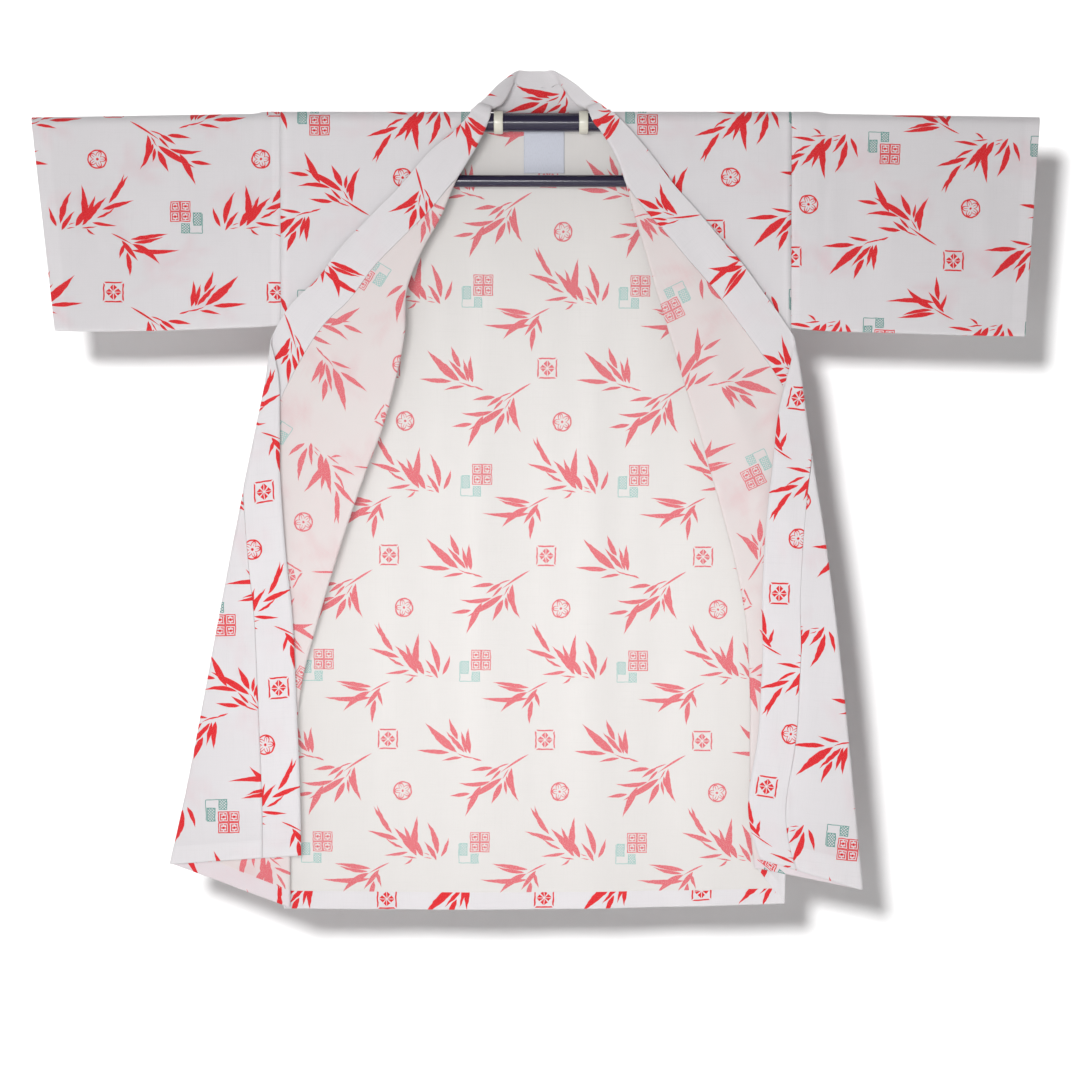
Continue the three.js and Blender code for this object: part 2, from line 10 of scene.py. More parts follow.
import bpy
import numpy as np
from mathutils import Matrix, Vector

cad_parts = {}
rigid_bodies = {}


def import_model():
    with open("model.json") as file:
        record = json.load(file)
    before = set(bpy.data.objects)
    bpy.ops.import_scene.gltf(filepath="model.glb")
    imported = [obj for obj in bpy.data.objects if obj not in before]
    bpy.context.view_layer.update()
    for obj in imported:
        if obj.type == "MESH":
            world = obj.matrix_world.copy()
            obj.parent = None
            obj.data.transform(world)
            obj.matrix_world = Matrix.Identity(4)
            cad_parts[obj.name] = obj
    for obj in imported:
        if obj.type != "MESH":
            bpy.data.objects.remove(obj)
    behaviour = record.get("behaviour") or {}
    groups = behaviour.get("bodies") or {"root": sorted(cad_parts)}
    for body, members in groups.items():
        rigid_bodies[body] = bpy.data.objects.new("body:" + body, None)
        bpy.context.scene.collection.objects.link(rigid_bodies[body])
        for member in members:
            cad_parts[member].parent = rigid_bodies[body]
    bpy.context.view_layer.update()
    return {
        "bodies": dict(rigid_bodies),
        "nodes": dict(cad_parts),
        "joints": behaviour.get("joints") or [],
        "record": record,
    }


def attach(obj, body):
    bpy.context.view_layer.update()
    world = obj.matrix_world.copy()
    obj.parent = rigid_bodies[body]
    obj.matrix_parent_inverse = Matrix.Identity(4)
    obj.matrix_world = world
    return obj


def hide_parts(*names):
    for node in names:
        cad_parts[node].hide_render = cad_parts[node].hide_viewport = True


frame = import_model()

bl_info = {
    "name": "Short yukata on a pole hanger",
    "version": (1, 0, 0),
    "blender": (4, 5, 0),
    "location": "3D View > Sidebar > Yukata",
    "description": "Makes the cloth pieces, the printed leaves, the hanger's finishes and the studio",
    "category": "Object",
}

MM = 0.001
TAU = 2 * math.pi

# ---- sizes and tables of the garment ----

BAND_WIDTH = 49.0
BAND_ROLL = 3.0  # radius that the band rolls over with
EDGE = 0.15  # half the gap at a seam
WRAP = 13.4  # from the pole's axis to the middle of the cloth round it
NECK_BACK = 16.9  # how far behind the axis the cloth lies at the neck
FOLD_RADIUS = 3.2
TURN_RADIUS = 3.0
HEM_BELLY = 9.0  # how far behind the axis the back hangs at its hem
HEM_SAG = 5.0
HEM_PLIES = 1.7
SLEEVE_FOOT = 3.6  # half the depth of a sleeve at its lower fold
SLEEVE_TUCK, SLEEVE_REACH = 1.0, 1.6  # how far the sleeve's root lies under the body at the armhole
ARMHOLE_FOOT = -260.0
SEAM_FORE = 0.75  # half the depth of the side seam
LAST_ROW = 17
HEM_DEPTH = 23.0
HEM_START = LAST_ROW - HEM_DEPTH / 99  # the last row is 99 mm long
CUFF_HEM = 20.0
SEAM_ALLOWANCE = 11.0

FRONT_COLUMNS = ("sideOut", "sideZ", "foldOut", "foldZ", "turnOut", "turnZ",
                 "rise", "width", "foldFore", "turnFore", "edgeFore")
FRONT_LEFT = (
    (333, 20.9, 60, 20.9, 98, 37, 8, 293, 13.4, 17.6, 19),
    (333, -11, 72, -11, 108, 29, 8, 293, 13.4, 17.6, 19),
    (333, -38, 86, -38, 129, 8, 8, 287, 13.2, 17.4, 19),
    (333, -75, 108, -75, 159, -22, 8, 279, 13, 17, 19),
    (333, -118, 128, -122, 199, -64, 8, 274, 12.5, 16.6, 19),
    (333, -163, 151, -163, 234, -103, 8, 264, 12, 16.2, 18.5),
    (333, -214, 171, -214, 272, -151, 8, 266, 11.5, 15, 18.5),
    (333, -266, 174, -271, 305, -189, 8, 295, 11, 13.4, 18),
    (333.4, -323, 184, -323, 331, -219, 8, 315, 10.5, 11.6, 17.5),
    (334, -387, 201, -387, 342, -262, 10, 322, 9.5, 10, 17.5),
    (335, -445, 223, -445, 351, -328, 16, 310, 8.5, 8.5, 17.5),
    (335, -502, 243, -502, 363, -388, 12, 296, 7.5, 7, 17.5),
    (335, -566, 263, -564, 378, -460, 9, 281, 6.5, 6.5, 17.5),
    (334, -637, 284, -634, 396, -552, 8, 267, 5.5, 6, 17.5),
    (333, -714, 305, -714, 413, -642, 6, 262, 4.5, 6, 17),
    (332, -803, 315, -803, 431, -739, 5, 276, 3.5, 5.5, 16),
    (330, -906, 320, -906, 452, -848, 5, 306, 2.6, 5, 15),
    (329, -1006, 321, -1003, 474, -948, 4, 347, 2, 4.5, 14),
)
FRONT_RIGHT = (
    (320, 20.9, 58, 20.9, 95, 36, 8, 281, 13.4, 17.6, 19),
    (320, -11, 76, -11, 106, 29, 8, 276, 13.4, 17.6, 19),
    (320, -38, 92, -37, 141, 0, 8, 266, 13.2, 17.4, 19),
    (320, -75, 106, -71, 162, -28, 8, 263, 13, 17, 19),
    (320, -118, 119, -120, 190, -65, 8, 269, 12.5, 16.6, 19),
    (320, -163, 132, -163, 216, -96, 8, 275, 12, 16.2, 18.5),
    (320, -214, 146, -212, 246, -129, 8, 282, 11.5, 15, 18.5),
    (320, -266, 161, -261, 274, -164, 8, 288, 11, 13.4, 18),
    (320.4, -323, 179, -321, 300, -199, 8, 293, 10.5, 11.6, 17.5),
    (320.4, -387, 199, -386, 316, -249, 9, 298, 9.5, 10, 17.5),
    (319.5, -445, 216, -445, 329, -306, 10, 301, 8.5, 8.5, 17.5),
    (319, -509, 233, -506, 338, -370, 7, 301, 7.5, 7, 17.5),
    (318, -573, 250, -573, 348, -438, 4, 296, 7, 6.5, 17.5),
    (317, -643, 262, -640, 360, -513, 3, 297, 6.5, 6, 17.5),
    (316, -726, 267, -726, 373, -606, 2, 309, 6, 6, 17),
    (315, -816, 267, -818, 385, -710, 3, 320, 5.5, 5.5, 16.5),
    (314, -912, 268, -902, 397, -832, 7, 328, 5, 5, 16),
    (312, -1000, 273, -954, 411, -981, 17, 347, 4.5, 4.5, 15),
)

# The band round the neck: where it is seamed on, where it rolls over, and its free edge.
NECK_COLUMNS = ("seamOut", "seamZ", "seamFore", "rollOut", "rollZ", "rollFore",
                "freeOut", "freeZ", "freeFore")
NECK = (
    (0, 13.9, -17, 0, 46, -17.5, 0, 67.5, -17.5),
    (26, 13.9, -17, 17, 46, -17, 12, 67.5, -16.5),
    (43, 13.9, -17, 28, 51, -14.5, 22, 67.5, -12),
    (57, 14.6, -16.4, 31, 50, -9, 34, 60, -4),
    (69, 15.6, -10.5, 38, 37, -4, 51, 47, 3),
    (79, 15.7, -3.6, 46, 25, 1, 63, 35, 8),
)
SHOULDER_COLUMNS = ("row", "lift", "rollOut", "rollZ", "rollFore", "freeOut", "freeZ", "freeFore")
SHOULDER = (
    (0, 2.3, 57, 18.4, 4.5, 74, 25, 12.5),
    (0.2, 1.2, 58.5, 16.6, 9.6, 77, 23, 14.5),
    (0.4, 0.6, 60, 12.8, 14, 80, 20.5, 16.5),
    (0.6, 0.6, 63, 5, 17, 84, 17, 17.6),
    (0.8, 0.6, 67, -3, 17.3, 88, 13.5, 18),
)
NECK_LEAN = {"top": -7.0, "foot": 1.0, "topZ": 67.5, "footZ": -11.0}
NECK_HALF = {"flat": 55.0, "point": 88.0}

# Soft vertical folds of the back: place, height of the wave, half width, and where it starts.
BACK_FOLDS = (
    (-185, 2.6, 34, -260),
    (-88, -3, 30, -180),
    (-10, 2.2, 38, -420),
    (62, -2.8, 30, -200),
    (150, 2.6, 36, -330),
    (238, -2.2, 34, -520),
)

# Creases, placed one by one: from (x, z) to (x, z), how far it stands forward, and its half width.
CREASES = {
    "back": (
        (-187, -266, -219, -739, 1.6, 15),
        (-142, -611, -129, -995, -1.4, 14),
        (-72, -138, -91, -765, 1.8, 14),
        (-14, -560, -27, -995, 1.4, 13),
        (63, -163, 76, -611, 1.7, 15),
        (140, -394, 159, -970, -1.5, 16),
        (214, -520, 226, -900, 1.3, 14),
    ),
    "left_lapel": (
        (-180, -176, -270, -445, 1.3, 9),
        (-232, -227, -308, -394, -1.1, 8),
        (-270, -406, -296, -637, 1.3, 8),
        (-222, -330, -262, -560, -1.0, 9),
    ),
    "right_lapel": (
        (232, -502, 319, -458, 1.8, 8),
        (204, -266, 255, -394, 1.1, 9),
        (140, -163, 191, -355, -1.1, 10),
        (246, -560, 292, -640, 1.3, 8),
        (242, -650, 261, -816, 1.1, 9),
    ),
    "left_facing": (
        (-417, -611, -436, -842, 1.2, 9),
        (-385, -419, -398, -662, 1.0, 8),
        (-360, -780, -372, -920, -0.9, 9),
    ),
    "right_facing": (
        (332, -560, 351, -867, 1.2, 9),
        (302, -700, 330, -960, -1.0, 9),
        (312, -430, 322, -600, 1.0, 8),
    ),
    "sleeve_left": (
        (-577, -35, -539, -227, 1.4, 11),
        (-436, -22, -475, -240, 1.4, 10),
        (-380, -60, -366, -236, 1.2, 9),
        (-510, -80, -500, -236, -1.2, 10),
    ),
    "sleeve_right": (
        (459, -35, 434, -240, 1.4, 10),
        (562, -48, 575, -227, 1.4, 11),
        (380, -50, 366, -220, 1.2, 9),
        (510, -90, 504, -230, -1.2, 10),
    ),
}

LAPEL_CREASE = 1.3  # how much deeper the lapels' creases are than their table says
LAPEL_RIDGES = ((1.1, 0.32, 0.13, 3), (-0.9, 0.55, 0.12, 4))  # height, place, half width, first row

# Painted highlights on the back: soft upright bands of whiter colour that stand in for the light its folds
# catch: place, half width, whiter by.
PAINTED_FOLD_HIGHLIGHTS = ((-187, 16, 0.035), (-128, 12, 0.02), (-72, 20, 0.045), (8, 12, 0.02),
                (60, 18, 0.035), (128, 14, 0.025), (190, 16, 0.02))

# Sleeves, from the armhole to the cuff: topOut, footOut, footZ, sway.
SLEEVE_LEFT = (
    (333.3, 333.3, -260, 0), (352, 350, -261, 0.3), (372, 368, -262, 0.8), (430, 421, -264, 1.4),
    (490, 476, -266, -0.6), (550, 531, -267, -1.6), (605, 581, -267.5, 0.4), (640, 613, -267, 0.2),
    (651.5, 622, -266.5, 0),
)
SLEEVE_RIGHT = (
    (320.3, 320.3, -263, 0), (338, 336.5, -265, -0.3), (354, 351, -266, -0.6), (372, 367, -267, -0.9),
    (425, 416, -268.5, -1.2), (480, 468, -270, 0.8), (535, 520, -271.5, 1.5), (590, 572, -273, -0.3),
    (625, 607, -273.5, -0.2), (637.5, 619.5, -273.5, 0),
)
LABEL = {"left": -22.0, "right": 30.0, "top": -9.0, "foot": -64.0, "gap": 0.3, "curl": 0.8,
         "curlReach": 9.0, "belly": 0.4}

# How finely the pieces are divided.
FRONT_ROWS = ((0, 1, 2.4, 3.6, 9, 10, 11.3, 12.3, HEM_START - 0.008, HEM_START + 0.008, LAST_ROW),
              (10, 12, 16, 54, 12, 12, 14, 50, 1, 8))
BACK_ROWS = ((0, 1, HEM_START - 0.02, HEM_START - 0.004, HEM_START + 0.004, HEM_START + 0.02,
              LAST_ROW), (24, 150, 1, 1, 1, 11))
BACK_COLUMNS, BACK_CROWDING = 130, 0.36 * math.pi  # more columns towards the sides
PANEL_COUNTS = (26, 10, 26, 10, 26)
BAND_COUNTS = (5, 8, 9, 8, 7)
NECK_STEPS = 6
SLEEVE_ROWS, SLEEVE_ARC, SLEEVE_WALL, SLEEVE_FOOT_ARC = 64, 12, 48, 8

# ---- sizes of the hanger and the studio ----

POLE_HALF, POLE_RADIUS = 352.0, 12.0
ARM_TIP, ARM_RADIUS, ARM_DROOP = 632.0, 9.5, 0.016
BAR_RADIUS, BAR_HALF, BAR_Z = 7.7, 168.0, -75.0
LINK_RADIUS, LINK_EDGE, LINK_OUT = 2.5, 0.6, 150.0
HANGER_GAP = 0.3
CLAMP_OUT = 54.5
CLAMP_PROFILE = ((-5.75, 12.3), (-5.75, 14.2), (-5.3, 14.8), (-4.6, 15), (4.6, 15), (5.3, 14.8),
                 (5.75, 14.2), (5.75, 12.3), (0, 12.3), (-5.75, 12.3))
LATHE_SEGMENTS = 64

# Lamps: name, kind, place, what it is aimed at (metres), size and power.
LAMPS = (
    ("key light", "AREA", (-1.1, -4.4, -0.1), (0, 0, -0.5), 1.6, 98),
    ("wall light", "AREA", (-1.8, -7.8, 1.4), (0, 0, -0.5), 1.3, 770),
    ("back light", "AREA", (2.6, 3.4, 1.0), (0, 0, -0.5), 1.2, 130),
    ("pool light", "SPOT", (0, -5.6, -0.75), (0, 0, -0.72), 0.3, 460),
)
POOL_ANGLE = 15.5
WORLD_LIGHT = 0.17
PAINT_TONES = (0.82, 0.80)
STAGE_REACH = 6.0
CAMERA_PLACE = (-0.00128, -5.184, -0.5345)
LENS, SENSOR, CLIP_END = 135.0, 36.0, 100.0


# ---- the print, charted on one repeat ----

REPEAT = (209.4, 237.5)

# Each leaf: foot x, y and tip x, y in millimetres on the repeat, greatest width, and bend.
SPRAY_LEAVES = (
    ("cluster", (
        (-50, -87, -60, -60.5, 5.5, -0.05), (-45, -84, -30, -39.5, 8.5, -0.07),
        (-44, -92, -26, -66, 6, -0.04), (-14, -84, -18.5, -31, 9.5, 0.03),
        (-12, -76, 0, -45.5, 6, 0), (-26, -87, -8, -57, 8.4, 0),
        (-18, -86, 15, -47.5, 9, -0.03), (7, -65, 50, -52.5, 6.5, 0),
        (0, -76, 26, -61, 3.6, 0.06), (15, -57, 36, -17, 7, 0.08),
        (27, -42, 41.5, -20, 4, 0.02), (-6, -81, 28, -85.5, 4.5, 0.03),
        (-18, -89, 3, -86.5, 2.2, 0), (-12, -89, 0, -97.5, 3, 0.10),
        (-38, -89.3, -26, -87.5, 1.4, 0), (-35, -85, -26, -81.5, 1.4, 0),
    )),
    ("branch", (
        (43, 48.5, 84, 22, 2.8, -0.02), (66.5, 31, 55, -15.5, 8.5, -0.12),
        (73.5, 20, 63, -4, 5.2, -0.04), (75.5, 14, 73, -5.5, 4, 0),
        (79, 11, 93.5, -18, 8, 0), (78.5, 17.5, 129, -12.5, 8.5, 0.02),
        (107, 7, 128, -35, 8.8, -0.02), (94, 12.8, 139, 10.8, 6, 0.08),
        (121, -3.3, 150, -7.2, 5.4, 0.01), (91, 30.3, 123, 26, 5.6, -0.02),
        (82, 31, 103, 17.5, 5.2, -0.02), (80.5, 27.5, 95, 12.5, 3.6, 0),
        (69, 36, 92, 26, 2, -0.05), (70.5, 28.5, 79, 14.5, 1.8, 0),
    )),
    ("twig", (
        (18.5, -95, 49, -111, 2.2, -0.02), (43.5, -103.2, 94.5, -95.5, 6.4, 0),
        (47.5, -107, 88, -98.5, 5, 0.05), (44, -116.3, 110.5, -116.2, 7, 0.04),
        (45.5, -108.5, 82.5, -136, 8.5, -0.07), (32.5, -104, 54, -131.5, 6.6, 0),
        (36.5, -107, 29, -128.5, 5, 0), (39.5, -119, 43.3, -151.5, 7.2, -0.03),
    )),
    ("fan", (
        (106, -198.6, 124, -192.8, 2.4, 0), (116, -194.8, 141, -187.3, 2.2, 0.06),
        (121.5, -189.5, 124.2, -154, 7.6, 0.05), (126.5, -188.5, 134.4, -158.3, 5.6, 0),
        (137.7, -170.8, 150.4, -142.3, 7.4, 0.04), (128.5, -187.5, 155.3, -159, 6.2, 0),
        (138.5, -188, 183.5, -147, 11.5, 0.03), (149, -187.8, 194.5, -184.6, 6.4, 0.01),
        (132, -193.8, 161, -199.2, 4.2, -0.03),
    )),
)
# Marks: centre and half size; a panel or an angle of the lattice has a half width and half height.
MEDALLION = (1.8, -0.4, 12.6)
FRET = (108.0, -67.3, 13.2)
LATTICE = ((129.7, -76.9, 5.4, 8.2), (114.9, -88.9, 5.2, 6.4))
LATTICE_ANGLE = (122.6, -82.4, 13.4, 12.4)
FRAMED = (22.0, -170.5, 13.2)
CROSSINGS = ((2.8, 0.5, 0.4), (11.75, 0.5, 0.42))  # row, reach in rows, and how much the seam opens
HEM_WHITER, BAND_WHITER = 1.05, 1.02
LAPEL_BLUSH_AND_SHADE = (0.975, 0.905, 0.92)  # pink on the lapels: partly the print of the ply behind showing through, partly painted shade where the lapel lies in the band's shadow
SHOW_THROUGH = (0.02, 1.0, 0.85)  # share of red, green and blue that a ghost takes away
PLY_GHOSTS = (0.06, 0.14, 0.09)  # how strongly the ply behind shows: hidden ply, lapel, facing
SLEEVE_GHOST, BAND_GHOST, HEM_GHOST = 0.14, 0.05, 0.4
GHOST_BLUR = 4.0
LEAF_TAPER = 0.7
LEAF_SWELL = 5.78  # makes the leaf formula's widest place 1
LEAF_SOFTNESS = (0.004, 0.022)
WOBBLE = (1.4, -0.8, 0)  # how far the print's edges wander, in millimetres

# Cells of the noises in metres. The cotton's are its warp and weft slubs, clouds and grain.
COTTON_CELLS = ((0.0011, 0.05), (0.06, 0.0010), (0.05, 0.06), (0.0011, 0.0011))
WOBBLE_CELL, FLECK_CELL, PAINT_CELL = (1 / 150, 1 / 150), (0.0008, 0.004), (0.6, 0.6)
MOTTLE_CELL, SCRATCH_CELL = (0.02, 0.01), (0.03, 0.0006)
THREAD_PITCH, RIB_PITCH = 0.00055, 0.0007
WEAVE_DEPTH, RIB_DEPTH, PLASTIC_DEPTH = 0.00012, 0.0001, 0.0004

# Where the print lies on each ply: a point of the repeat, where it comes to lie (x, z), how far it
# is turned (degrees, anticlockwise), whether the cloth shows its wrong side to the viewer, and by
# how much the repeat is wider and longer there.
PLY_PRINT = {
    "sleeve_left": (MEDALLION[:2], (-567, -48), 0, False, (1, 1)),
    "sleeve_right": (MEDALLION[:2], (341.8, -105.7), 178.5, False, (0.99, 1)),
    "back": (MEDALLION[:2], (25.6, -622.4), -0.35, True, (0.962, 0.998)),
    "left_hidden": (MEDALLION[:2], (-176.6, -71.8), 180, False, (1, 1)),
    "left_lapel": (FRET[:2], (-229.5, -198.7), 148, True, (1, 1)),
    "left_facing": (FRET[:2], (-403.2, -643.3), 181, False, (1.03, 1.06)),
    "right_hidden": (MEDALLION[:2], (242.2, -71.1), 180, False, (1, 1)),
    "right_lapel": (FRET[:2], (167.2, -241.1), 206, True, (1, 1)),
    "right_facing": (FRET[:2], (391.7, -930), 174, False, (1.03, 1.07)),
}
BAND_PRINT_START = (-5.0, 100.0)  # point of the repeat at the band's seam edge on the left hem
BACK_STRETCH = 4.1e-5  # the back hangs longer towards its top, as a share for each mm
BAND_DRAW = 0.95  # chart for each mm along the band, which is drawn out as it is sewn on


def length(name, description, value, low, high):
    return bpy.props.FloatProperty(name=name, description=description, default=value, min=low,
                                   max=high, precision=4, unit="LENGTH")


def colour(name, description, value):
    return bpy.props.FloatVectorProperty(name=name, description=description, default=value, min=0.0,
                                         max=1.0, size=3, subtype="COLOR")


class YukataSizes(bpy.types.PropertyGroup):
    """Sizes that a user may change."""

    cloth: length("Cloth thickness", "Thickness of one ply of the cotton", 0.7 * MM, 0.0002, 0.0012)
    band: length("Collar thickness", "Thickness of the doubled collar band", 1.7 * MM, 0.0006, 0.0024)
    label: length("Label thickness", "Thickness of the care label", 0.5 * MM, 0.0002, 0.001)
    weave: bpy.props.FloatProperty(
        name="Weave relief", description="Strength of the thread and slub relief",
        default=0.22, min=0.0, max=1.0, subtype="FACTOR")
    floor_drop: length("Floor drop", "How far the floor lies below the hanger's pole", 1.3, 1.05, 3.0)
    wall_gap: length("Wall gap", "How far the wall stands behind the hanger's pole", 0.165, 0.03, 2.0)


class YukataColours(bpy.types.PropertyGroup):
    """Colours that a user may change, as linear light."""

    ground: colour("Ground", "White cotton, right side", (0.675, 0.652, 0.668))
    ground_wrong: colour("Ground, wrong side", "Creamy white of the wrong side", (0.700, 0.677, 0.660))
    red: colour("Red", "Printed leaves, right side", (0.67, 0.012, 0.018))
    red_wrong: colour("Red, wrong side", "Leaves where the print only soaks through", (0.68, 0.125, 0.15))
    green: colour("Green", "Small lattice marks, right side", (0.07, 0.27, 0.235))
    green_wrong: colour("Green, wrong side", "Small lattice marks, wrong side", (0.27, 0.50, 0.47))
    navy: colour("Navy", "Hanger tubes", (0.018, 0.014, 0.040))
    ivory: colour("Ivory", "Hanger clamps", (0.72, 0.70, 0.60))
    label: colour("Label", "Care label", (0.57, 0.59, 0.67))


def size_of(name):
    """A size of the user's; lengths are in metres."""
    return getattr(bpy.context.scene.yukata_sizes, name)


# ---- small tools on arrays ----

def along(values, t):
    """Smooth curve through evenly spaced rows of values. From b to c, with slopes p and q, it is
    b(2u^3 - 3u^2 + 1) + p(u^3 - 2u^2 + u) + c(3u^2 - 2u^3) + q(u^3 - u^2)."""
    values = np.asarray(values, float)
    last = len(values) - 1
    i = np.clip(np.floor(t).astype(int), 0, last - 1)
    column = lambda a: np.reshape(a, np.shape(a) + (1,) * (values.ndim - 1))
    u = column(t - i)
    b, c = values[i], values[i + 1]
    a, d = values[np.maximum(i - 1, 0)], values[np.minimum(i + 2, last)]
    slope_b = np.where(column(i > 0), (c - a) / 2, c - b)
    slope_c = np.where(column(i + 2 <= last), (d - b) / 2, c - b)
    u2, u3 = u * u, u * u * u
    return (b * (2 * u3 - 3 * u2 + 1) + slope_b * (u3 - 2 * u2 + u) + c * (3 * u2 - 2 * u3)
            + slope_c * (u3 - u2))


def mix(a, b, u):
    return a + (b - a) * u


def ease(u):
    """Smooth step: 3u^2 - 2u^3, held to 0 and 1 outside."""
    v = np.clip(u, 0, 1)
    return v * v * (3 - 2 * v)


def bump(x, place, half_width):
    """A soft ridge: the bell curve exp(-((x - place) / half_width)^2)."""
    return np.exp(-((x - place) / half_width) ** 2)


def creases(name, x, z):
    """How far a piece's creases stand forward at (x, z): each runs straight from end to end, is a bell
    across its width, and fades along its length as half a sine wave."""
    total = np.zeros(np.broadcast(x, z).shape)
    for from_x, from_z, to_x, to_z, height, half_width in CREASES[name]:
        run_x, run_z = to_x - from_x, to_z - from_z
        run = math.hypot(run_x, run_z)
        share = np.clip(((x - from_x) * run_x + (z - from_z) * run_z) / run ** 2, 0, 1)
        across = ((x - from_x) * run_z - (z - from_z) * run_x) / run
        total = total + height * bump(across, 0, half_width) * np.sin(math.pi * share)
    return total


def spread(rows, counts):
    """Values from row to row with `counts` steps in each stretch."""
    steps = [np.linspace(a, b, n, endpoint=False) for a, b, n in zip(rows[:-1], rows[1:], counts)]
    return np.append(np.concatenate(steps), rows[-1])


def total_length(points):
    """Length run from the first column of a grid of points to each column."""
    steps = np.linalg.norm(np.diff(points, axis=1), axis=-1)
    return np.concatenate([np.zeros((len(points), 1)), np.cumsum(steps, 1)], 1)


# ---- depths that neighbouring pieces share ----

def armhole_depth(z):
    """Half the distance between front and back at the armhole, narrowing to the side seam."""
    through = mix(WRAP, SLEEVE_FOOT, np.clip(z / ARMHOLE_FOOT, 0, 1))
    return mix(through, SEAM_FORE, ease((ARMHOLE_FOOT - z) / 40))


def neck_middle(z):
    fall = np.clip((NECK_LEAN["topZ"] - z) / (NECK_LEAN["topZ"] - NECK_LEAN["footZ"]), 0, 1)
    return mix(NECK_LEAN["top"], NECK_LEAN["foot"], fall)


def back_depth(x, z):
    """How far behind the pole's axis the back hangs: straight at the neck, bellied at the hem, with
    one bell-shaped wave for each soft vertical fold, growing from where it starts."""
    from_neck = np.abs(x - neck_middle(z))
    neck = mix(NECK_BACK, WRAP, ease((from_neck - NECK_HALF["flat"]) / NECK_HALF["flat"]))
    upper = mix(neck, WRAP, ease((-90 - z) / 150))
    depth = mix(upper, HEM_BELLY, ease((-300 - z) / 700))
    for place, wave, half_width, start in BACK_FOLDS:
        depth = depth + wave * bump(x, place, half_width) * ease((start - z) / 260)
    return depth


# ---- the fronts ----

